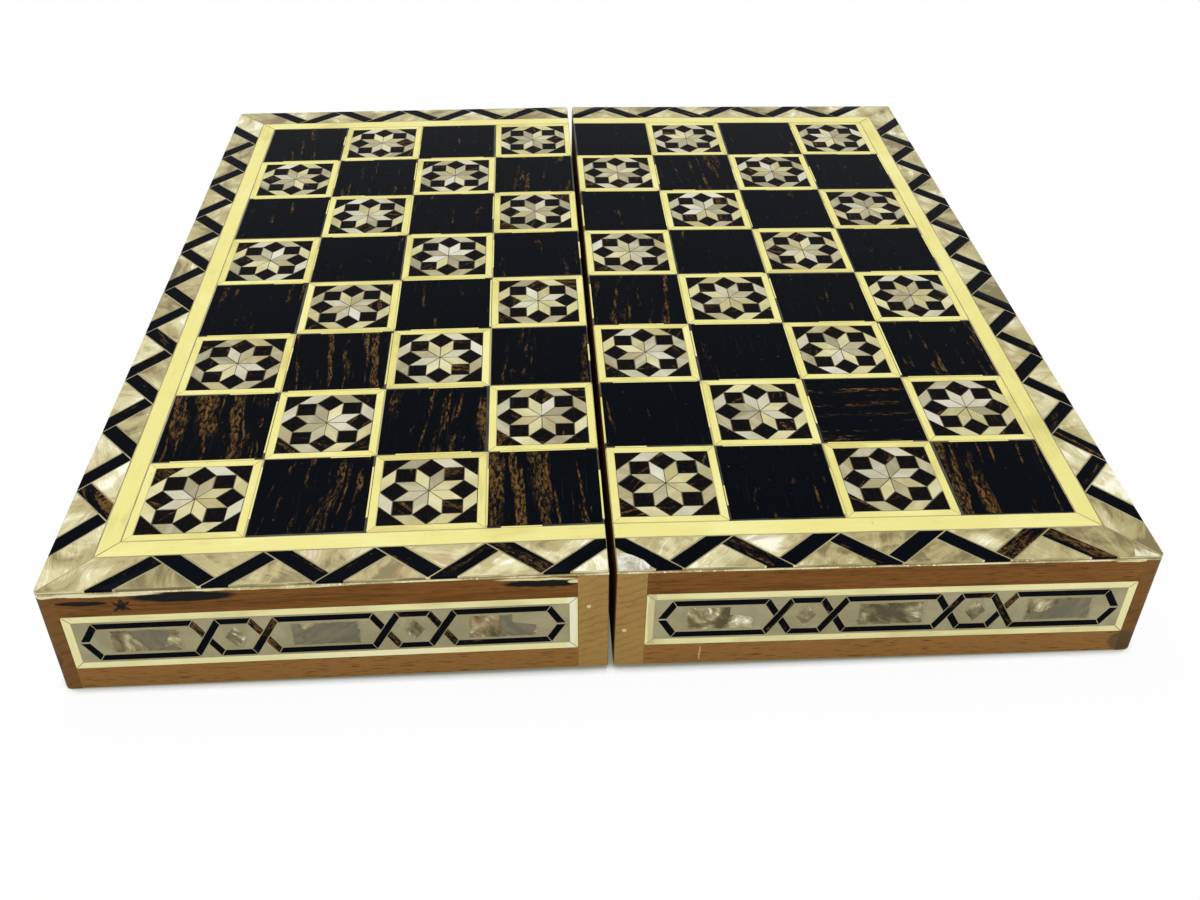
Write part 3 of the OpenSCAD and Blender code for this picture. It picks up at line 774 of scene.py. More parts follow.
@dataclass(frozen=True)
class Filler(Finish):
    """Hardened filler: slightly cloudy and dull, with fine grit."""

    slot: str = "bone"
    body: Colour = srgb(146, 138, 102)
    pale: Colour = srgb(161, 154, 118)
    grit: Colour = srgb(106, 94, 64)

    def wire(self, w: Wiring) -> dict[str, object]:
        """Wires the clouds and the grit.

        Args:
            w: The wiring of the tree.

        Returns:
            What feeds the shader, by input.
        """
        place = w.place()
        clouds, fine = w.noise(place, 90.0, 4, 0.55, 0.5), w.noise(place, 1500.0, 3, 0.6)
        return {
            "Base Color": self.tint(w, place, clouds, fine), "Roughness": clouds.line(0.3, 0.2),
            "Specular IOR Level": 0.25, "Normal": w.bump(fine * 0.4 + clouds, 0.00005),
        }

    def tint(self, w: Wiring, place: Flow, clouds: Flow, fine: Flow) -> Flow:
        """Wires the colour from the clouds and the grit."""
        colour = w.mix(clouds.ramp(0.35, 0.65), self.body, self.pale)
        return w.mix(fine.ramp(0.6, 0.72) * 0.3, colour, self.grit)


@dataclass(frozen=True)
class Bedding(Filler):
    """The putty of the joints: toned to its neighbours, and pale with chips and painted white highlights
    where its edge lies open.
    """

    slot: str = "putty"
    body: Colour = srgb(140, 130, 92)
    pale: Colour = srgb(172, 162, 122)
    grit: Colour = srgb(96, 84, 52)
    inner: Colour = srgb(70, 60, 38)
    cream: Colour = srgb(186, 174, 112)
    black: Colour = srgb(12, 13, 16)
    cell: float = 0.0325
    gap: float = 0.0007
    reach: float = 4.0
    mosaic: float = 0.424

    def tint(self, w: Wiring, place: Flow, clouds: Flow, fine: Flow) -> Flow:
        """Wires the tone for each kind of square and the pale open edge with its painted highlights.

        Args:
            w: The wiring of the tree.
            place: Where the pattern is read.
            clouds: The soft clouds.
            fine: The fine grit.

        Returns:
            The colour.
        """
        colour = super().tint(w, place, clouds, fine)
        parts = w.parts(place)
        across = parts[0].sign().line(-self.gap, parts[0]) / self.cell
        along = parts[1] / self.cell
        off = abs(across.fract() - 0.5).most(abs(along.fract() - 0.5))
        square = w.mix(off.above(self.mosaic), self.inner, self.cream)
        square = w.mix((across.floor() + along.floor()).pingpong(1.0), square, self.black)
        inside = abs(across).most(abs(along)).below(self.reach)
        colour = w.mix(inside * clouds.ramp(0.3, 0.7, 1.0, 0.85), colour, square)
        chips_and_glints = w.mix(clouds.ramp(0.4, 0.56), srgb(164, 148, 96), srgb(224, 217, 170))
        # Painted highlights: white specks on the open edge stand in for the sparkle of light on it.
        chips_and_glints = w.mix(fine.ramp(0.58, 0.66), chips_and_glints, srgb(250, 247, 226))
        return w.mix(abs(w.parts(w.place("Normal"))[2]).ramp(0.7, 0.4), colour, chips_and_glints)


@dataclass(frozen=True)
class Resin(Finish):
    """A clear, cloudy lump of glue or lacquer over the nacre."""

    slot: str = "bone"

    def wire(self, w: Wiring) -> dict[str, object]:
        """Wires a grey-white cloud under a glassy skin.

        Args:
            w: The wiring of the tree.

        Returns:
            What feeds the shader, by input.
        """
        clouds, dots = w.noise(w.place(), 240.0, 4, 0.6, 0.8), w.noise(w.place(), 1100.0, 3, 0.6)
        colour = w.mix(clouds.ramp(0.35, 0.62), srgb(160, 154, 128), srgb(228, 226, 210))
        return {
            "Base Color": w.mix(dots.ramp(0.6, 0.7) * 0.35, colour, srgb(112, 96, 70)),
            "Roughness": clouds.line(0.2, 0.04), "Coat Weight": 1.0, "Coat Roughness": 0.04,
            "Normal": w.bump(clouds + dots * 0.2, 0.0003, 0.6),
        }


@dataclass(frozen=True)
class Beech(Finish):
    """Old oiled beech: short dark flecks along the grain, and end grain with soft wavy lines."""

    slot: str = "beech"
    along: Along = Along.X
    body: Colour = srgb(120, 77, 28)
    deep: Colour = srgb(98, 60, 18)
    light: Colour = srgb(142, 101, 50)
    fleck: Colour = srgb(66, 40, 14)
    end_body: Colour = srgb(132, 94, 50)
    end_deep: Colour = srgb(104, 70, 34)
    ring_scale: float = 60.0
    # Painted light: how much paler the lower part of a wall is made, standing in for light thrown up from
    # the floor.
    low_light: float = 0.0
    smears: tuple[Patch, ...] = ()

    def wire(self, w: Wiring) -> dict[str, object]:
        """Wires long grain, end grain where the face cuts the grain, worn edges, smears and a painted floor
        bounce low on the wall.

        Args:
            w: The wiring of the tree.

        Returns:
            What feeds the shader, by input.
        """
        own = w.place()
        place, normal = own, w.place("Normal")
        if self.along is Along.Y:
            place, normal = w.turned(own, QUARTER), w.turned(normal, QUARTER, kind="NORMAL")
        grain = grain_group(w, Place=place)
        level = grain["Bands"] * 0.45 + grain["Fibre"] * 0.5
        # Painted floor bounce: the level rises towards the bottom of the wall, so its lower part is paler.
        level = level + w.parts(own)[2].ramp(0.024, 0.011, 0.0, self.low_light)
        colour = w.mix(level.ramp(0.38, 0.52), self.deep, self.body)
        colour = w.mix(level.ramp(0.54, 0.72), colour, self.light)
        colour = w.mix(grain["Flecks"] * 0.72, colour, self.fleck)
        ring = w.add("ShaderNodeTexWave", {
            "Vector": w.turned(own, (0.15, 1.92, 0.0)), "Scale": self.ring_scale, "Distortion": 4.5,
            "Detail": 3.0, "Detail Scale": 1.4, "Detail Roughness": 0.6,
        })["Fac"]
        pores, clouds = w.noise(own, 1900.0, 3, 0.7), w.noise(own, 120.0, 4, 0.6)
        ends = ring.ramp(0.0, 0.45, 0.25, 0.36) + pores * 0.3 + clouds * 0.5
        ends = w.mix(ends.ramp(0.42, 0.8), self.end_deep, self.end_body)
        colour = w.mix(abs(w.parts(normal)[0]).ramp(0.55, 0.75), colour, ends)
        colour = w.mix(edge_group(w, Amount=0.35, Scale=160.0)["Mask"] * 0.45, colour, srgb(88, 66, 36))
        return {
            "Base Color": self.smear(w, colour, self.smears), "Roughness": grain["Fibre"].line(0.25, 0.42),
            "Specular IOR Level": 0.1,
            "Normal": w.bump(grain["Fibre"] * 0.6 - (grain["Flecks"] + pores * 0.4), 0.00006),
        }


@dataclass(frozen=True)
class Walnut(Finish):
    """Polished walnut veneer of the trays."""

    slot: str = "walnut"
    body: Colour = srgb(112, 68, 36)
    deep: Colour = srgb(70, 40, 22)

    def wire(self, w: Wiring) -> dict[str, object]:
        """Wires a long open grain along Y.

        Args:
            w: The wiring of the tree.

        Returns:
            What feeds the shader, by input.
        """
        grain = grain_group(w, Place=w.turned(w.place(), QUARTER))
        level = grain["Bands"] * 0.8 + grain["Fibre"] * 0.2
        colour = w.mix(level.ramp(0.38, 0.62), self.deep, self.body)
        return {
            "Base Color": w.mix(grain["Flecks"] * 0.5, colour, srgb(40, 22, 12)),
            "Roughness": polish_group(w)["Smears"].line(0.2, 0.22),
            "Coat Weight": 0.3, "Coat Roughness": 0.12,
            "Normal": w.bump(grain["Fibre"] * 0.4 - grain["Flecks"], 0.00003),
        }


@dataclass(frozen=True)
class Brass(Finish):
    """Old brass, dulled in its corners and rubbed bright on its edges."""

    slot: str = "brass"
    body: Colour = srgb(188, 152, 82)
    dull: Colour = srgb(96, 74, 40)
    bright: Colour = srgb(226, 198, 124)

    def wire(self, w: Wiring) -> dict[str, object]:
        """Wires tarnish, scratches and bright edges.

        Args:
            w: The wiring of the tree.

        Returns:
            What feeds the shader, by input.
        """
        tarnish = w.noise(w.place(), 320.0, 5, 0.65, 0.5)
        scratches = polish_group(w)["Scratches"]
        colour = w.mix(tarnish.ramp(0.42, 0.66), self.body, self.dull)
        colour = w.mix(edge_group(w, Amount=0.9, Scale=500.0)["Mask"] * 0.6, colour, self.bright)
        return {
            "Base Color": w.mix(scratches * 0.3, colour, self.bright), "Roughness": tarnish.line(0.4, 0.12),
            "Metallic": 1.0, "Normal": w.bump(tarnish - scratches, 0.00002),
        }


# Meshes and geometry trees


def read(mesh: bpy.types.Mesh) -> bmesh.types.BMesh:
    """Opens a mesh to be edited.

    Args:
        mesh: The mesh.

    Returns:
        The mesh as it can be edited.
    """
    shape = bmesh.new()
    shape.from_mesh(mesh)
    return shape


def write(shape: bmesh.types.BMesh, thing: bpy.types.Object) -> None:
    """Puts an edited mesh on an object."""
    shape.to_mesh(thing.data)
    shape.free()


def new_object(name: str, shape: bmesh.types.BMesh | None = None) -> bpy.types.Object:
    """Links an object at the origin to the scene, with the mesh that was made for it.

    Args:
        name: The object's name.
        shape: The mesh, or None for an empty one.

    Returns:
        The object.
    """
    thing = bpy.data.objects.new(name, bpy.data.meshes.new(name))
    bpy.context.scene.collection.objects.link(thing)
    if shape is not None:
        write(shape, thing)
    return thing


def prism(outline: Iterable[Point], low: float, tall: float) -> tuple[bmesh.types.BMesh, list]:
    """Makes a flat block.

    Args:
        outline: Its corners, in metres.
        low: The height of its underside.
        tall: Its thickness.

    Returns:
        The block and its upper corners.
    """
    shape = bmesh.new()
    base = shape.faces.new([shape.verts.new((x, y, low)) for x, y in outline])
    raised = bmesh.ops.extrude_face_region(shape, geom=[base])["geom"]
    upper = [v for v in raised if isinstance(v, bmesh.types.BMVert)]
    bmesh.ops.translate(shape, verts=upper, vec=(0, 0, tall))
    bmesh.ops.recalc_face_normals(shape, faces=shape.faces)
    return shape, upper


def soften(
    shape: bmesh.types.BMesh, edges: Iterable, width: float, segments: int, profile: float, **more: bool
) -> None:
    """Rounds edges of a mesh.

    Args:
        shape: The mesh.
        edges: The edges.
        width: Width of the rounding in millimetres.
        segments: Faces across it.
        profile: Its shape, where 0.5 is round.
        more: Further settings of the bevel.
    """
    more |= {"segments": segments, "profile": profile, "affect": "EDGES"}
    bmesh.ops.bevel(shape, geom=list(edges), offset=width * MM, **more)


def block(shape: bmesh.types.BMesh, low: Sequence[float], high: Sequence[float]) -> None:
    """Adds a closed box to a mesh.

    Args:
        shape: The mesh that is being built.
        low: The box's low corner, in metres.
        high: Its high corner.
    """
    size = Vector(high) - Vector(low)
    made = bmesh.ops.create_cube(shape, size=1.0)["verts"]
    bmesh.ops.scale(shape, verts=made, vec=size)
    bmesh.ops.translate(shape, verts=made, vec=Vector(low) + size / 2)


def merged(node: bpy.types.Object, name: str) -> bpy.types.Object:
    """Copies a CAD node as a closed mesh with its flat faces whole.

    Args:
        node: The CAD node, which stays as it is.
        name: The copy's name.

    Returns:
        The copy.
    """
    shape = read(node.data)
    bmesh.ops.remove_doubles(shape, verts=shape.verts, dist=WELD)
    bmesh.ops.dissolve_limit(shape, angle_limit=FLAT, verts=shape.verts, edges=shape.edges)
    return new_object(name, shape)


def geometry_tree(
    name: str, inputs: dict[str, str], build: Callable[[Wiring, Made], Flow]
) -> bpy.types.NodeTree:
    """Makes a geometry tree once.

    Args:
        name: The tree's name.
        inputs: Input name to socket type, after the geometry.
        build: Wires the tree and returns the geometry that comes out.

    Returns:
        The tree, made now or before.
    """
    tree = bpy.data.node_groups.get(name)
    if not tree:
        tree = bpy.data.node_groups.new(name, "GeometryNodeTree")
        for label, kind in {"Geometry": SHAPE, **inputs}.items():
            tree.interface.new_socket(label, in_out="INPUT", socket_type=kind)
        tree.interface.new_socket("Geometry", in_out="OUTPUT", socket_type=SHAPE)
        w = Wiring(tree)
        w.add("NodeGroupOutput", {"Geometry": build(w, w.add("NodeGroupInput"))})
    return tree


# Inputs of a tree that sets pieces by hand
HAND = {"Lean": FLOAT, "Rise": FLOAT, "Slip": FLOAT, "Seed": INTEGER}


def hand_set(w: Wiring, entry: Made) -> Flow:
    """Sets each loose piece by hand: a slight lean, slip and rise of its own, its number and its tone.

    Args:
        w: The wiring of the tree.
        entry: The tree's inputs.

    Returns:
        The geometry that comes out.
    """
    island = w.add("GeometryNodeInputMeshIsland")["Island Index"]
    position = w.add("GeometryNodeInputPosition")[0]

    def total(value: object, kind: str) -> Flow:
        """A sum over each piece's points."""
        values = {"Value": value, "Group ID": island}
        return w.add("GeometryNodeAccumulateField", values, data_type=kind, domain="POINT")["Total"]

    def draw(low: Spot, high: Spot, number: float) -> Flow:
        """A random vector for each piece."""
        values = {"Min": low, "Max": high, "ID": island, "Seed": entry["Seed"] + number}
        return w.add("FunctionNodeRandomValue", values, data_type="FLOAT_VECTOR")["Value"]

    count = total(1.0, "FLOAT")
    counts = w.add("ShaderNodeCombineXYZ", {0: count, 1: count, 2: count})[0]
    centre = total(position, "FLOAT_VECTOR") / counts
    swing = draw((-1, -1, -1), (1, 1, 1), SWING_SEED) * entry["Lean"]
    slip = draw((-1, -1, 0), (1, 1, 0), SLIP_SEED) * entry["Slip"]
    rise = draw((0, 0, -1), (0, 0, 1), RISE_SEED) * entry["Rise"]
    lean = {"Vector": position, "Center": centre, "Rotation": swing}
    turned = w.add("ShaderNodeVectorRotate", lean, rotation_type="EULER_XYZ")[0]
    placed = {"Geometry": entry["Geometry"], "Position": turned + slip + rise}
    moved = w.add("GeometryNodeSetPosition", placed)[0]
    tones = {2: 0.0, 3: 1.0, "ID": island, "Seed": entry["Seed"] + TONE_SEED}
    tone = w.add("FunctionNodeRandomValue", tones, data_type="FLOAT")[1]
    for name, value, kind in ((TONE, tone, "FLOAT"), (PIECE, island, "INT")):
        values = {"Geometry": moved, "Name": name, "Value": value}
        moved = w.add("GeometryNodeStoreNamedAttribute", values, data_type=kind, domain="POINT")[0]
    return moved


def laid(w: Wiring, entry: Made) -> Flow:
    """Lays pieces as they are: sets them by hand and gives them their finish."""
    return finished(w, entry, entry["Geometry"])


def ringed(w: Wiring, entry: Made) -> Flow:
    """Lays rings of one piece, one ring round each point, and gives them their finish.

    Args:
        w: The wiring of the tree.
        entry: The tree's inputs.

    Returns:
        The geometry that comes out.
    """
    piece = w.add("GeometryNodeObjectInfo", {"Object": entry["Piece"], "As Instance": True})["Geometry"]
    angle = w.add("GeometryNodeInputIndex")[0] * (2 * math.pi / entry["Count"])
    spots = w.add("GeometryNodePoints", {"Count": entry["Count"]})[0]
    spin = w.add("FunctionNodeEulerToRotation", {0: w.add("ShaderNodeCombineXYZ", {2: angle})[0]})[0]
    one = w.add("GeometryNodeInstanceOnPoints", {"Points": spots, "Instance": piece, "Rotation": spin})[0]
    ring = w.add("GeometryNodeGeometryToInstance", {0: one})[0]
    rings = w.add("GeometryNodeInstanceOnPoints", {"Points": entry["Geometry"], "Instance": ring})[0]
    return finished(w, entry, rings)


def finished(w: Wiring, entry: Made, shape: Flow) -> Flow:
    """Sets pieces by hand, makes them real and gives them their finish.

    Args:
        w: The wiring of the tree.
        entry: The tree's inputs.
        shape: The pieces.

    Returns:
        The geometry that comes out.
    """
    real = w.add("GeometryNodeRealizeInstances", {"Geometry": shape})[0]
    values = {"Geometry": real, **{label: entry[label] for label in HAND}}
    real = w.add("GeometryNodeGroup", values, node_tree=geometry_tree("hand_set", HAND, hand_set))[0]
    real = w.add("GeometryNodeRealizeInstances", {"Geometry": real})[0]
    return w.add("GeometryNodeSetMaterial", {"Geometry": real, "Material": entry["Finish"]})[0]


@dataclass(frozen=True)
class Setting:
    """How evenly pieces are set: lean in radians, the rest in metres."""

    lean: float = 0.004
    rise: float = 0.00002
    slip: float = 0.00004

    def lay(self, thing: bpy.types.Object, seed: int, finish: Finish, **ring: object) -> None:
        """Lays an object's pieces with a geometry tree, and turns the result into a plain mesh.

        Args:
            thing: The object.
            seed: Seed of the pieces' lean and tone.
            finish: Their finish.
            ring: The Piece and Count of a ring, where the object's points are the middles of rings.
        """
        inputs = {**HAND, "Finish": "NodeSocketMaterial"}
        if ring:
            inputs |= {"Piece": "NodeSocketObject", "Count": INTEGER}
        tree = geometry_tree("star_ring" if ring else "laid_pieces", inputs, ringed if ring else laid)
        values = {"Lean": self.lean, "Rise": self.rise, "Slip": self.slip, "Seed": seed}
        values |= {"Finish": finish.material(), **ring}
        modifier = thing.modifiers.new(tree.name, "NODES")
        modifier.node_group = tree
        for item in tree.interface.items_tree:
            if item.in_out == "INPUT" and item.name in values:
                modifier[item.identifier] = values[item.name]
        bpy.context.view_layer.update()
        evaluated = thing.evaluated_get(bpy.context.evaluated_depsgraph_get())
        mesh = bpy.data.meshes.new_from_object(evaluated)
        thing.modifiers.clear()
        thing.data = mesh


def by_piece(mesh: bpy.types.Mesh) -> tuple[np.ndarray, list[np.ndarray]]:
    """Where a mesh's points lie, and for each piece which of them are its own.

    Args:
        mesh: The mesh.

    Returns:
        The places, and a mask of the points for each piece.
    """
    count = len(mesh.vertices)
    places, numbers = np.empty(count * 3, np.float32), np.empty(count, np.int32)
    mesh.vertices.foreach_get("co", places)
    mesh.attributes[PIECE].data.foreach_get("value", numbers)
    return places.reshape(-1, 3), [numbers == number for number in np.unique(numbers)]


def store(mesh: bpy.types.Mesh, name: str, values: np.ndarray) -> None:
    """Stores a value or a vector for each point of a mesh."""
    kind, key = ("FLOAT_VECTOR", "vector") if values.ndim > 1 else ("FLOAT", "value")
    mesh.attributes.new(name, kind, "POINT").data.foreach_set(key, values.ravel())


def mark(thing: bpy.types.Object, figure: Rule | None, lay: Lay, turn: Rule | None = None) -> None:
    """Stores how strong the figure of each piece of an object is, and which way its grain runs.

    Args:
        thing: An object whose mesh holds the number of each piece.
        figure: Gives the strength for a piece's middle, in metres. None stands for no figure.
        lay: How the grain is laid.
        turn: With Lay.DEEP, gives the angle from Y for a piece's middle.
    """
    places, pieces = by_piece(thing.data)
    figures, grains = np.zeros(len(places), np.float32), np.zeros((len(places), 3), np.float32)
    draw = np.random.default_rng(len(places))
    for chosen in pieces:
        own = places[chosen]
        middle = Vector((own.min(0) + own.max(0)) / 2)
        along, across = np.linalg.svd(own - own.mean(0), full_matrices=False)[2][:2]
        angle = draw.uniform(0, 2 * math.pi) if lay is Lay.ANY else 0.0
        if lay is Lay.DEEP:
            along, across, angle = np.array((0, 1, 0)), np.array((1, 0, 0)), turn(middle)
        figures[chosen] = figure(middle) if figure else 0.0
        grains[chosen] = along * math.cos(angle) + across * math.sin(angle)
    store(thing.data, FIGURE, figures)
    store(thing.data, GRAIN, grains)


def ripple(place: Iterable[float], *waves: float) -> float:
    """A value from -1 to 1 that seems to be random from one place to the next, and is always the same.

    Args:
        place: The place.
        waves: How fast the value changes along each axis.

    Returns:
        The value.
    """
    return math.sin(sum(at * wave for at, wave in zip(place, waves)))


def mark_rim(thing: bpy.types.Object, short: float = 0.012) -> None:
    """Stores where on its own plaque a point lies, from -1 to 1 along it and up it, and 1 on a short one.

    Args:
        thing: The plaques, with the number of each piece.
        short: The most that a short plaque measures.
    """
    places, pieces = by_piece(thing.data)
    spots = np.zeros((len(places), 3), np.float32)
    for chosen in pieces:
        low, high = places[chosen].min(0), places[chosen].max(0)
        near = (places[chosen] - (low + high) / 2) / ((high - low) / 2)
        along = 0 if high[0] - low[0] > high[1] - low[1] else 1
        is_short = np.full(len(near), (high - low)[along] < short)
        spots[chosen] = np.column_stack((near[:, along], near[:, 2], is_short))
    store(thing.data, RIM, spots)


# Sub-assemblies


@dataclass
class Half:
    """One half of the board: its level sizes in millimetres, and how it is placed as it droops."""

    side: Side
    cell: float = 32.5
    rows: int = 8
    cols: int = 4
    gap: float = 1.4
    band: float = 5.6
    border: float = 12.2
    axis_z: float = 1.25
    closing_gap: float = 0.3
    height: float = 36.6
    inlay: float = 0.8
    hair: float = 0.02

    @property
    def wall_x(self) -> float:
        """Distance from the hinge line to the half's edge."""
        return self.gap / 2

    @property
    def outer_x(self) -> float:
        """Distance from the hinge line to the outer edge."""
        return self.wall_x + self.cols * self.cell + self.band + self.border

    @property
    def outer_y(self) -> float:
        """Distance from the middle to the front and back faces."""
        return self.rows * self.cell / 2 + self.band + self.border

    @property
    def top_z(self) -> float:
        """Level height of the playing surface."""
        return self.axis_z + self.closing_gap / 2 + self.height

    @property
    def turn(self) -> Matrix:
        """The matrix, in metres, that lets a level half droop about the hinge axis."""
        rim = self.closing_gap / 2
        droop = math.asin(self.axis_z / math.hypot(self.outer_x, rim)) + math.atan(rim / self.outer_x)
        axis = Matrix.Translation((0, 0, self.axis_z * MM))
        return axis @ Matrix.Rotation(self.side.value * droop, 4, "Y") @ axis.inverted()

    @property
    def box(self) -> tuple[Vector, Vector]:
        """The corners of the half's level box, from its underside to the playing surface, in metres."""
        xs = sorted((self.side.value * self.wall_x, self.side.value * self.outer_x))
        low = Vector((xs[0], -self.outer_y, self.top_z - self.height)) * MM
        return low, Vector((xs[1], self.outer_y, self.top_z)) * MM

    def drooped(self, name: str, shape: bmesh.types.BMesh) -> bpy.types.Object:
        """Makes an object from a level mesh, and lets it droop with the half."""
        shape.transform(self.turn)
        return new_object(name, shape)

    def dress(self, thing: bpy.types.Object, finish: Finish, *nodes: str) -> None:
        """Rides a finished piece on the half's body, for the CAD nodes that it stands for.

        Args:
            thing: The piece.
            finish: Its finish; not used.
            nodes: The CAD nodes that it replaces.
        """
        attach(thing, self.side.body)
        if nodes:
            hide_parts(*nodes)
        LOG.info("%s: %d faces on %s", thing.name, len(thing.data.polygons), self.side.body)

    def keep_inside(self, thing: bpy.types.Object) -> None:
        """Sets a piece a hair lower, and moves what its lean pushed out of the half's box back to its faces.

        Args:
            thing: The piece.
        """
        thing.data.transform(self.turn.inverted())
        low, high = self.box
        hair = Vector((0, 0, self.hair * MM))
        for vertex in thing.data.vertices:
            vertex.co = [min(max(v, a), b) for v, a, b in zip(vertex.co - hair, low, high - hair)]
        thing.data.transform(self.turn)

    def round_corners(self, shape: bmesh.types.BMesh, radius: float = 1.9, steps: int = 5) -> None:
        """Cuts the half's two outer upright corners round, as handling wears them.

        Args:
            shape: Level closed pieces.
            radius: The corners' radius.
            steps: Cuts round each corner.
        """
        sign = self.side.value
        for end in (-1, 1):
            centre = Vector((sign * (self.outer_x - radius), end * (self.outer_y - radius), 0)) * MM
            for number in range(steps):
                angle = (number + 0.5) / steps * math.pi / 2
                away = Vector((sign * math.cos(angle), end * math.sin(angle), 0))
                parts = [*shape.verts, *shape.edges, *shape.faces]
                at = centre + away * radius * MM
                cut = bmesh.ops.bisect_plane(shape, geom=parts, plane_co=at, plane_no=away, clear_outer=True)
                open_edges = [e for e in cut["geom_cut"] if isinstance(e, bmesh.types.BMEdge)]
                bmesh.ops.holes_fill(shape, edges=open_edges, sides=0)

    def centres(self, star: bool) -> list[Point]:
        """Middles of the star squares or of the plain squares, signed for the side.

        Args:
            star: True for the star squares.

        Returns:
            The middles, in millimetres.
        """
        left = self.side is Side.LEFT
        found = []
        for row in range(self.rows):
            for col in range(self.cols):
                out = self.cols - 1 - col if left else col
                if ((row + (0 if left else self.cols) + col) % 2 == 0) is star:
                    x = self.wall_x + (out + 0.5) * self.cell
                    found.append((self.side.value * x, (row + 0.5 - self.rows / 2) * self.cell))
        return found


@dataclass
class Inlay:
    """Pieces of one CAD node, laid again with soft edges, a lean and a tone of their own."""

    half: Half
    kind: str
    finish: Finish
    setting: Setting = Setting()
    bevel: float = 0.1
    figure: Rule | None = None
    lay: Lay = Lay.LENGTH
    turn: Rule | None = None
    rim: bool = False
    corners: bool = False

    def build(self, frame: dict, seed: int) -> None:
        """Makes the pieces, and lets them stand for their node.

        Args:
            frame: The loaded frame.
            seed: Seed of the pieces' lean and tone.
        """
        half, node = self.half, self.half.side.node(self.kind)
        thing = merged(frame["nodes"][node], f"{node}_laid")
        shape = read(thing.data)
        if self.corners:
            shape.transform(half.turn.inverted())
            half.round_corners(shape)
            shape.transform(half.turn)
        edges = [e for e in shape.edges if e.is_manifold and e.calc_face_angle(0) > SHARP]
        soften(shape, edges, self.bevel, 2, 0.6, clamp_overlap=True)
        write(shape, thing)
        self.setting.lay(thing, seed, self.finish)
        mark(thing, self.figure, self.lay, self.turn)
        if self.rim:
            mark_rim(thing)
        half.keep_inside(thing)
        half.dress(thing, self.finish, node)


@dataclass
class StarSquares:
    """The star mosaic of a half: rings of one piece each, laid round the middle of each square."""

    half: Half
    joint: float = 0.26
    frame_joint: float = 0.15
    strip: float = 2.3
    bevel: float = 0.07
    loose: Setting = Setting(0.011, 0.00002, 0.00006)
    framed: Setting = Setting(0.003, 0.00001, 0.00003)

    @staticmethod
    def ray(number: int, reach: float) -> Vector:
        """A point at a reach from the middle, in steps of an eighth of a turn."""
        angle = number * math.pi / 4
        return Vector((reach * math.cos(angle), reach * math.sin(angle)))

    def outlines(self) -> dict[str, tuple[list[Vector], int]]:
        """The outline of each kind of piece, in millimetres, and how many make a ring.

        Returns:
            CAD node kind to outline and count.
        """
        frame = self.half.cell / 2 - self.frame_joint
        far = frame - self.strip
        side = far / (1 + math.sqrt(2))
        near, next_near = self.ray(0, side), self.ray(1, side)
        tip, low_tip = near + next_near, self.ray(-1, side) + near
        end, next_end = self.ray(0, far), self.ray(1, far)
        strip = [(frame, -frame), (frame, frame), (far, far), (far, -far)]
        return {
            "star_points": ([Vector((0, 0)), near, tip, next_near], 8),
            "star_squares": ([near, low_tip, end, tip], 8),
            "star_rims": ([tip, end, end + next_end - tip, next_end], 8),
            "star_corners": ([Vector((far, side)), Vector((far, far)), Vector((side, far))], 4),
            "star_frames": ([Vector(corner) for corner in strip], 4),
        }

    @staticmethod
    def inset(outline: Sequence[Vector], distance: float) -> list[Vector]:
        """Moves each edge of an outline inwards.

        Args:
            outline: The corners.
            distance: How far each edge moves.

        Returns:
            The smaller outline.
        """
        after = [*outline[1:], outline[0]]
        turn = 1 if sum(a.x * b.y - a.y * b.x for a, b in zip(outline, after)) > 0 else -1
        found = []
        for i, corner in enumerate(outline):
            edges = (corner - outline[i - 1]).normalized(), (after[i] - corner).normalized()
            one, two = (turn * Vector((-edge.y, edge.x)) for edge in edges)
            found.append(corner + distance * (one + two) / (1 + one.dot(two)))
        return found

    def build(self, finishes: dict[str, Finish], seed: int) -> None:
        """Makes the five kinds of pieces.

        Args:
            finishes: CAD node kind to finish.
            seed: Seed of the pieces' lean and tone.
        """
        half = self.half
        level = (half.top_z - half.inlay) * MM
        for number, (kind, (outline, count)) in enumerate(self.outlines().items()):
            frames = kind == "star_frames"
            corners = self.inset(outline, (self.frame_joint if frames else self.joint) / 2)
            shape, _ = prism([(x * MM, y * MM) for x, y in corners], 0, half.inlay * MM)
            soften(shape, shape.edges, self.bevel, 2, 0.6)
            pattern = new_object(f"{kind}_pattern", shape)
            name = half.side.node(kind)
            thing = new_object(f"{name}_laid")
            thing.data.from_pydata([(x * MM, y * MM, level) for x, y in half.centres(True)], [], [])
            setting = self.framed if frames else self.loose
            setting.lay(thing, seed + number, finishes[kind], Piece=pattern, Count=count)
            bpy.data.objects.remove(pattern)
            thing.data.transform(half.turn)
            lay = Lay.LENGTH if frames else Lay.ANY
            mark(thing, lambda middle: 0.8 * ripple(middle, 911, 677) ** 6, lay)
            half.keep_inside(thing)
            half.dress(thing, finishes[kind], name)


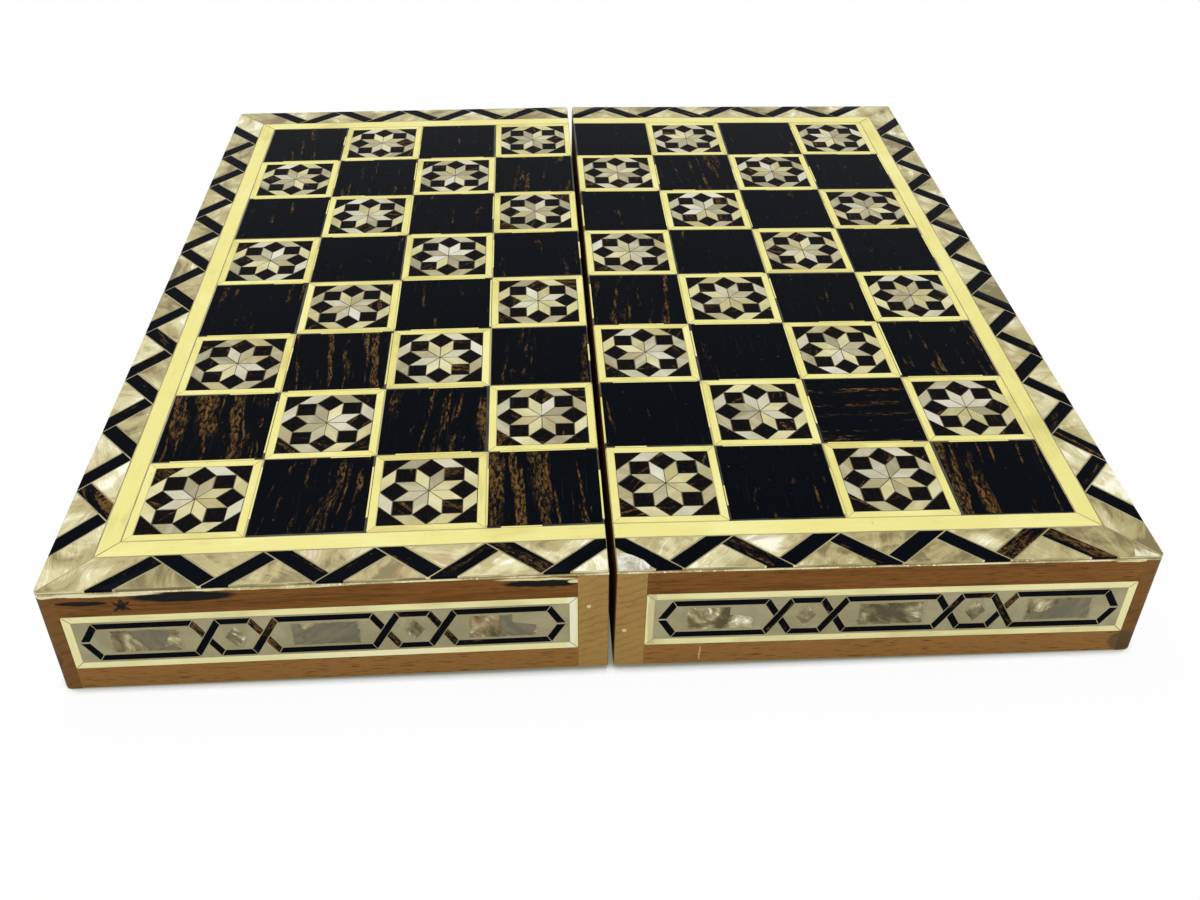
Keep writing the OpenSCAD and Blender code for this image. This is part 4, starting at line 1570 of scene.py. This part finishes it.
@dataclass
class Carcass:
    """The wooden walls of a half, with worn edges and corners."""

    half: Half
    wear: float = 0.4
    rim_round: float = 2.4
    shortest: float = 4.0

    def build(self, frame: dict, finishes: dict[str, Finish]) -> None:
        """Makes the walls.

        Args:
            frame: The loaded frame.
            finishes: CAD node kind to finish.
        """
        for kind, finish in finishes.items():
            node = self.half.side.node(kind)
            thing = merged(frame["nodes"][node], f"{node}_worn")
            self.wear_down(thing)
            thing.data.materials.clear()
            thing.data.materials.append(finish.material())
            self.half.dress(thing, finish, node)

    def wear_down(self, thing: bpy.types.Object) -> None:
        """Rounds the edges of a wall, and much more the outer wall's lower one.

        Args:
            thing: The wall.
        """
        half, near = self.half, self.half.hair * MM
        shape = read(thing.data)
        shape.transform(half.turn.inverted())
        low, outer = half.box[0].z, half.outer_x * MM
        rims = [
            e for e in shape.edges
            if all(abs(v.co.z - low) < near and abs(abs(v.co.x) - outer) < near for v in e.verts)
        ]
        soften(shape, rims, self.rim_round if half.side is Side.RIGHT else self.rim_round / 2, 6, 0.5)
        faces = [(axis, bound[axis]) for bound in half.box for axis in range(3)]
        sharp = [
            e for e in shape.edges if e.calc_length() > self.shortest * MM
            and sum(all(abs(v.co[axis] - at) < near for v in e.verts) for axis, at in faces) > 1
        ]
        soften(shape, sharp, self.wear, 3, 0.55, clamp_overlap=True)
        half.round_corners(shape)
        shape.transform(half.turn)
        write(shape, thing)


@dataclass
class Grout:
    """The filler of a half: the bed under the inlay, which rises into its joints, and the walls' backing."""

    half: Half
    depth: float = 0.1
    margin: float = 0.25
    bed: float = 0.6
    inset: float = 0.02
    panel: float = 2.0

    def build(self, frame: dict, bed: Finish, backing: Finish) -> None:
        """Makes the bed and the backing.

        Args:
            frame: The loaded frame.
            bed: Finish of the bed.
            backing: Finish of the backing.
        """
        half, margin = self.half, self.margin * MM
        low, high = half.box
        level = high.z - half.inlay * MM
        shape = bmesh.new()
        block(shape, (low.x, low.y, level - self.bed * MM), (high.x, high.y, level))
        start = (low.x + margin, low.y + margin, level - self.bed / 2 * MM)
        block(shape, start, (high.x - margin, high.y - margin, high.z - self.depth * MM))
        half.round_corners(shape)
        for name, made, finish, *nodes in (
            ("inlay_bed_filled", shape, bed, half.side.node("inlay_bed")),
            ("wall_backing", self.backing(frame), backing),
        ):
            thing = half.drooped(half.side.node(name), made)
            thing.data.materials.append(finish.material())
            half.dress(thing, finish, *nodes)

    def backing(self, frame: dict) -> bmesh.types.BMesh:
        """Sizes a slab for each wall from the cream strips round its panel.

        Args:
            frame: The loaded frame.

        Returns:
            The slabs, level.
        """
        bands = read(frame["nodes"][self.half.side.node("wall_bands")].data)
        bands.transform(self.half.turn.inverted())
        places = [v.co.copy() for v in bands.verts]
        bands.free()
        front, outer = (self.half.outer_y - self.panel) * MM, (self.half.outer_x - self.panel) * MM
        shape = bmesh.new()
        for chosen in (
            [p for p in places if p.y < -front], [p for p in places if p.y > front],
            [p for p in places if abs(p.x) > outer and abs(p.y) < front],
        ):
            low = [min(p[i] for p in chosen) + self.inset * MM for i in range(3)]
            block(shape, low, [max(p[i] for p in chosen) - self.inset * MM for i in range(3)])
        return shape


@dataclass
class Slivers:
    """Thin slips of cream wood that fill out the joint beside some plain squares."""

    half: Half
    width: float = 0.5
    depth: float = 0.05
    foot: float = 0.6
    share: float = 0.75
    rim_share: float = 0.2
    clear: float = 2.0
    lengths: Point = (8, 30)
    setting: Setting = Setting(0.001, 0.00001, 0.00002)

    def build(self, finish: Finish, seed: int) -> None:
        """Makes the slips.

        Args:
            finish: Their finish.
            seed: Seed of their places and lengths.
        """
        half, draw = self.half, np.random.default_rng(seed)
        shape = bmesh.new()
        top = half.box[1].z
        edge = half.cell / 2 - self.width / 2 + half.hair
        for spot in half.centres(False):
            for axis, sign in ((0, -1), (0, 1), (1, -1), (1, 1)):
                middle = [*spot]
                middle[axis] += sign * edge
                rim = half.outer_y - half.border - half.band + half.wall_x * (1 - axis)
                if draw.random() > (self.share if abs(middle[axis]) < rim - self.clear else self.rim_share):
                    continue
                length = draw.uniform(*self.lengths)
                middle[1 - axis] += draw.uniform(-1, 1) * (half.cell - self.clear - length) / 2
                size = (self.width / 2, length / 2) if axis == 0 else (length / 2, self.width / 2)
                low = ((middle[0] - size[0]) * MM, (middle[1] - size[1]) * MM, top - self.foot * MM)
                high = ((middle[0] + size[0]) * MM, (middle[1] + size[1]) * MM, top - self.depth * MM)
                block(shape, low, high)
        thing = half.drooped(half.side.node("slivers"), shape)
        self.setting.lay(thing, seed, finish)
        mark(thing, None, Lay.LENGTH)
        half.dress(thing, finish)


@dataclass
class Skin:
    """A thin irregular patch on the playing surface: a lump of resin or a chip of brighter pearl."""

    name: str
    half: Half
    outline: Sequence[Point]
    finish: Finish
    depth: float = 0.3
    rounding: float = 0.15
    seed: int = 5

    def build(self) -> None:
        """Makes the patch."""
        low = self.half.box[1].z - self.depth * MM
        shape, upper = prism([(x * MM, y * MM) for x, y in self.outline], low, self.depth * MM)
        soften(shape, [e for e in shape.edges if all(v in upper for v in e.verts)], self.rounding, 2, 0.5)
        thing = self.half.drooped(self.name, shape)
        Setting(0.0, 0.0, 0.0).lay(thing, self.seed, self.finish)
        mark(thing, None, Lay.ANY)
        self.half.dress(thing, self.finish)


@dataclass
class Studio:
    """The floor, the lamps, the world and the camera at the photograph's place."""

    camera_mm: Spot = (-20.354, -379.821, 270.768)
    right: Spot = (0.9981645, -0.0590250, 0.0135549)
    up: Spot = (0.0217198, 0.5578317, 0.8296699)
    forward: Spot = (0.0565326, 0.8278526, -0.5580898)
    sensor: float = 36.0
    lens: float = 37.113
    rise: float = -0.10145
    sight: Point = (0.01, 20.0)
    floor_reach: float = 3.0
    floor_tone: float = 0.86
    floor_glow: float = 0.95
    # The painted contact shadow on the floor: its reach and its colour.
    shadow_reach: float = 0.005
    shadow: Colour = srgb(120, 122, 104)
    fill: float = 0.5
    lamps: tuple[tuple, ...] = (("key", (-0.35, 0.5, 1.5), 0.9, 13.0), ("fill", (0.4, -1.3, 0.8), 1.0, 8.0))

    @staticmethod
    def hang(name: str, data: bpy.types.ID, matrix: Matrix) -> bpy.types.Object:
        """Links a lamp or the camera to the scene.

        Args:
            name: The name.
            data: The lamp's or the camera's data.
            matrix: Where it stands and how it is turned.

        Returns:
            The object.
        """
        thing = bpy.data.objects.new(name, data)
        bpy.context.scene.collection.objects.link(thing)
        thing.matrix_world = matrix
        return thing

    def camera(self) -> None:
        """Stands the camera where the photograph was taken from."""
        data = bpy.data.cameras.new("camera")
        data.sensor_width, data.lens, data.shift_y = self.sensor, self.lens, self.rise
        data.clip_start, data.clip_end = self.sight
        turn = Matrix([self.right, self.up, [-v for v in self.forward]]).transposed().to_4x4()
        place = Matrix.Translation(Vector(self.camera_mm) * MM)
        bpy.context.scene.camera = self.hang("camera", data, place @ turn)

    def floor(self) -> None:
        """Lays a large white floor that keeps the shadow; the glow that the camera sees carries a painted
        contact shadow.
        """
        reach = self.floor_reach
        thing = new_object("floor")
        corners = [(-reach, -reach, 0), (reach, -reach, 0), (reach, reach, 0), (-reach, reach, 0)]
        thing.data.from_pydata(corners, [], [(0, 1, 2, 3)])
        made = bpy.data.materials.new("white_floor")
        made.use_nodes = True
        made.node_tree.nodes.clear()
        w = Wiring(made.node_tree)
        matt = w.add("ShaderNodeBsdfDiffuse", {"Color": (self.floor_tone,) * 3})[0]
        # Painted shadow: an occlusion mask darkens the floor's glow where the board stands close by.
        near = w.add("ShaderNodeAmbientOcclusion", {"Distance": self.shadow_reach}, samples=8)["AO"]
        shade = w.mix(near.ramp(0.4, 0.72), self.shadow, (1.0, 1.0, 1.0))
        glow = w.add("ShaderNodeEmission", {"Color": shade, "Strength": 1.0})[0]
        seen = w.add("ShaderNodeLightPath")["Is Camera Ray"] * self.floor_glow
        both = w.add("ShaderNodeMixShader", {0: seen, 1: matt, 2: glow})[0]
        w.add("ShaderNodeOutputMaterial", {"Surface": both})
        thing.data.materials.append(made)

    def world(self) -> None:
        """Sets a plain white world: soft fill for the object, white where the camera sees it."""
        world = bpy.data.worlds.new("studio")
        bpy.context.scene.world = world
        world.use_nodes = True
        world.node_tree.nodes.clear()
        w = Wiring(world.node_tree)
        ray = w.add("ShaderNodeLightPath")
        strength = ray["Is Camera Ray"].most(ray["Is Glossy Ray"]).line(1.0 - self.fill, self.fill)
        sky = w.add("ShaderNodeBackground", {"Color": (1, 1, 1), "Strength": strength})[0]
        w.add("ShaderNodeOutputWorld", {"Surface": sky})

    def build(self) -> None:
        """Sets everything up; each soft square lamp points at the board."""
        self.camera()
        self.floor()
        self.world()
        for name, place, size, watts in self.lamps:
            data = bpy.data.lights.new(name, "AREA")
            data.shape, data.size, data.energy = "SQUARE", size, watts
            lamp = self.hang(name, data, Matrix.Translation(place))
            lamp.rotation_mode = "QUATERNION"
            lamp.rotation_quaternion = (-Vector(place)).to_track_quat("-Z", "Y")
        bpy.context.scene.view_settings.view_transform = "Standard"


# What the photograph shows of wear and of strong figure. Places and sizes are in millimetres.

VENEER, NACRE = srgb(214, 206, 150), srgb(230, 224, 184)
CORNER = Patch(145.2, 4.2, 4.6, 3.8, srgb(70, 64, 42), 0.7, deep=4.0)
RAIL_MARKS = (
    Patch(-137.4, 32.3, 6.8, 0.8), Patch(-111.5, 33.7, 13.8, 1.8),
    Patch(-127.4, 31.0, 3.0, 0.7, strength=0.85, turn=0.62),
    Patch(-127.4, 31.0, 2.8, 0.6, strength=0.85, turn=-0.6),
    Patch(-127.3, 31.5, 0.9, 2.2, strength=0.85), Patch(-18.5, 34.1, 10.5, 1.3),
    Patch(-133, 35.3, 16, 0.9, NACRE), Patch(-92, 35.7, 24, 0.35, VENEER),
    Patch(-20, 35.7, 11, 0.45, VENEER), Patch(-9.9, 34.6, 2.2, 0.7, VENEER),
    Patch(19, 37.2, 11, 0.5, VENEER), Patch(140.8, 35.2, 5, 0.5, VENEER),
    Patch(24.6, 5.2, 0.28, 3.0, srgb(196, 178, 124), 0.7), CORNER,
)
END_STAINS = (
    CORNER, Patch(-147.4, 35.2, 5, 0.9, NACRE),
    Patch(-148.6, 11.0, 2.0, 2.6, srgb(60, 48, 36), 0.6, deep=4.0),
    Patch(-145.2, 5.4, 4.2, 3.2, srgb(112, 72, 36), 0.6, deep=4.0),
)
BAND_STAINS = (
    Patch(-11.0, 19, 1.5, 13, srgb(236, 232, 204), 0.9),
    Patch(11.0, 19, 1.4, 13, srgb(198, 184, 134), 0.8),
)
RESIN_OUTLINE = (
    (0.9, -141.6), (2.8, -141.2), (5.6, -142.5), (8.0, -144.2), (9.5, -146.2), (9.2, -147.75),
    (0.9, -147.75),
)
CHIP_OUTLINE = ((141.7, -143.2), (144.6, -145.6), (147.3, -147.2), (146.8, -147.75), (139.9, -147.75))
# Row and column from the front left, and how strongly the square is streaked
STRONG_SQUARES = {
    (0, 1): 0.42, (0, 3): 0.95, (1, 0): 1.1, (1, 2): 0.5, (2, 1): 0.6, (3, 3): 0.3, (4, 0): 0.15,
    (4, 4): 0.6, (3, 0): 0.2, (1, 6): 0.5, (0, 7): 0.85, (2, 7): 0.3, (5, 1): 0.6, (6, 3): 0.2,
    (5, 3): 0.45, (6, 1): 0.5, (3, 4): 0.5, (6, 5): 0.4, (7, 0): 0.4, (2, 3): 0.25, (3, 2): 0.15,
}
CROSSWISE_SQUARE = (1, 6)
# X, Y and strength of border strips
STREAKED_STRIPS = (
    (-39.4, -142.1, 1.1), (-24.5, -140.7, 0.9), (36.5, -142.7, 0.5), (111.2, -142.3, 2.0),
    (126.0, -142.8, 1.0), (143.7, -97.4, 0.9), (-143.0, -112.2, 0.9),
)
# X, Z and strength of strips in the front's hexagon chains
STREAKED_CHAIN = (
    (-110.4, 24.1, 1.6), (-110.7, 17.0, 0.8), (-92.7, 20.6, 1.5), (-90.8, 16.4, 2.2), (-60.5, 19.0, 1.1),
    (-58.0, 16.3, 1.8), (-52.5, 26.0, 1.2), (-47.6, 23.8, 1.1), (-42.9, 15.4, 1.3), (39.8, 26.7, 0.9),
    (46.5, 20.0, 1.2), (14.6, 21.4, 1.2), (58.3, 24.4, 1.0), (99.6, 26.3, 1.6), (107.3, 20.0, 1.1),
    (109.1, 24.3, 1.2),
)


def strength_near(spots: Iterable[Spot], x: float, y: float, reach: float) -> float | None:
    """The strength that a table gives for a place in millimetres, or None away from all its spots."""
    return next((strength for at_x, at_y, strength in spots if math.hypot(x - at_x, y - at_y) < reach), None)


@dataclass
class Board:
    """The whole board, and how its sub-assemblies are dressed."""

    frame: dict
    halves: tuple[Half, Half] = (Half(Side.LEFT), Half(Side.RIGHT))
    strip_reach: float = 5.0
    chain_reach: float = 3.2
    front_y: float = -140.0
    plain_figure: float = 0.05
    half_seed: int = 100
    inlay_seed: int = 10
    sliver_seed: int = 40

    def square(self, middle: Vector) -> tuple[int, int]:
        """The row and column of the square at a place, counted from the front left.

        Args:
            middle: The piece's middle, in metres.

        Returns:
            The row and the column.
        """
        half = self.halves[0]
        row, col = (math.floor(at / (half.cell * MM)) for at in (middle.y, middle.x))
        return row + half.rows // 2, col + half.cols

    def square_figure(self, middle: Vector) -> float:
        """How strongly a plain square is streaked."""
        return STRONG_SQUARES.get(self.square(middle), self.plain_figure)

    def square_turn(self, middle: Vector) -> float:
        """The angle of a plain square's grain from Y: one square lies crosswise."""
        crosswise = self.square(middle) == CROSSWISE_SQUARE
        return math.pi / 2 if crosswise else 0.09 * ripple(middle, 131, 57)

    def strip_figure(self, middle: Vector) -> float:
        """How strongly a border strip is streaked.

        Args:
            middle: The piece's middle, in metres.

        Returns:
            The strength.
        """
        x, y = middle.x / MM, middle.y / MM
        found = strength_near(STREAKED_STRIPS, x, y, self.strip_reach)
        return 0.3 * ripple((x, y), 3.1, 1.7) ** 8 if found is None else found

    def chain_figure(self, middle: Vector) -> float:
        """How strongly a strip of a hexagon chain is streaked.

        Args:
            middle: The piece's middle, in metres.

        Returns:
            The strength.
        """
        x, z = middle.x / MM, middle.z / MM
        if middle.y / MM < self.front_y:
            return strength_near(STREAKED_CHAIN, x, z, self.chain_reach) or 0.0
        return 1.2 if ripple((x, z, middle.y), 12.9, 7.3, 3100) > 0.6 else 0.1

    def inlays(self, half: Half) -> Iterable[Inlay]:
        """The inlays of a half that are laid from their CAD nodes.

        Args:
            half: The half.

        Yields:
            Each inlay.
        """
        wall, flat, fixed = Setting(0.0002, 0.0, 0.0), Setting(0.0002, 0.0, 0.00003), Setting(0.0, 0.0, 0.0)
        cream = Boxwood(name="cream_strips")
        wall_cream = Boxwood(
            name="wall_cream", body=srgb(232, 226, 164), pale=srgb(240, 236, 188),
            deep=srgb(214, 206, 144), grime=0.3, smears=BAND_STAINS,
        )
        plaque = Plaque(
            name="plaque_pearl", dark=srgb(78, 68, 38), body=srgb(122, 112, 74),
            light=srgb(176, 166, 122), fine=2.0,
        )
        chain = Ebony(name="chain_ebony", fine=1.4, black=srgb(6, 9, 14))
        for kind, finish, setting, more in (
            ("ebony_squares", Ebony(name="square_ebony"), Setting(0.0012, 0.00001, 0.00018),
             {"bevel": 0.12, "figure": self.square_figure, "lay": Lay.DEEP, "turn": self.square_turn}),
            ("field_band", cream, Setting(0.0, 0.0, 0.00003), {}),
            ("border_strips", Ebony(name="strip_ebony", fine=1.3), Setting(0.0015, 0.00001, 0.00003),
             {"figure": self.strip_figure}),
            ("border_pearls", Pearl(name="border_pearl"), Setting(0.003, 0.00001, 0.00004),
             {"lay": Lay.ANY, "corners": True}),
            ("wall_bands", wall_cream, wall, {"bevel": 0.08}),
            ("wall_strips", chain, wall, {"bevel": 0.05, "figure": self.chain_figure}),
            ("wall_plaques", plaque, Setting(0.003, 0.0, 0.0), {"bevel": 0.04, "lay": Lay.ANY, "rim": True}),
            ("dark_points", Ebony(name="point_ebony"), flat, {"figure": lambda middle: 0.4}),
            ("light_points", cream, flat, {}),
            ("tray_lines", cream, fixed, {}),
        ):
            yield Inlay(half, kind, finish, setting, **more)

    def build(self) -> None:
        """Builds and dresses both halves, the mends of the right one and the metalwork."""
        for number, half in enumerate(self.halves):
            self.dress_half(half, self.half_seed * (number + 1))
        bright = Pearl(name="chip_pearl", body=srgb(226, 222, 186), light=srgb(244, 242, 220))
        Skin("resin_lump", half, RESIN_OUTLINE, Resin(name="resin")).build()
        Skin("pearl_chip", half, CHIP_OUTLINE, bright).build()
        brass = Brass(name="old_brass")
        for name in (
            "hinge_pins", "latch_hook", "latch_pivot", "latch_catch", "left_hinge_leaves",
            "right_hinge_leaves", "left_hinge_screws", "right_hinge_screws",
        ):
            self.dress_node(name, brass)

    def dress_half(self, half: Half, seed: int) -> None:
        """Builds one half.

        Args:
            half: The half.
            seed: First seed of its pieces.
        """
        ebony = Ebony(name="star_ebony", fine=1.6, black=srgb(6, 7, 10), brown=srgb(44, 31, 18), plain=0.25)
        cream, pearl = Boxwood(name="cream_strips"), CutPearl(name="star_pearl", relief=0.00004)
        StarSquares(half).build({
            "star_points": pearl, "star_rims": pearl, "star_squares": ebony, "star_corners": ebony,
            "star_frames": cream,
        }, seed)
        for number, inlay in enumerate(self.inlays(half)):
            inlay.build(self.frame, seed + self.inlay_seed + number)
        # The rails get a painted floor bounce on their lower part.
        rail = Beech(name="rail_beech", smears=RAIL_MARKS, low_light=0.32)
        outer = Beech(
            name="outer_beech", along=Along.Y, end_body=srgb(117, 81, 37), end_deep=srgb(89, 57, 24),
            ring_scale=90.0, smears=END_STAINS,
        )
        hinge = Beech(
            name="hinge_beech", along=Along.Y, end_body=srgb(161, 129, 71), end_deep=srgb(129, 97, 50),
            ring_scale=120.0,
        )
        Carcass(half).build(self.frame, {
            "front_wall": rail, "back_wall": rail, "outer_wall": outer, "hinge_wall": hinge,
            "base_panel": outer,
        })
        panel = Filler(name="panel_filler")
        Grout(half).build(self.frame, Bedding(name="joint_putty"), panel)
        Slivers(half).build(cream, seed + self.sliver_seed)
        pins = Filler(
            name="pin_wood", slot="cream_wood", body=srgb(196, 180, 130), pale=srgb(216, 202, 154)
        )
        walnut = Walnut(name="tray_walnut")
        for kind, finish in (("wall_fields", panel), ("tray_ground", walnut), ("wall_pins", pins)):
            self.dress_node(half.side.node(kind), finish)

    def dress_node(self, name: str, finish: Finish) -> None:
        """Gives a CAD node that stays a finish.

        Args:
            name: The node's name.
            finish: The finish.
        """
        materials = self.frame["nodes"][name].data.materials
        materials.clear()
        materials.append(finish.material())
        LOG.info("%s: finish %s", name, finish.name)


def main() -> None:
    """Loads the frame, dresses the board and sets up the studio."""
    logging.basicConfig(level=logging.INFO, format="%(message)s")
    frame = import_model()
    Board(frame).build()
    Studio().build()


if __name__ == "__main__":
    main()
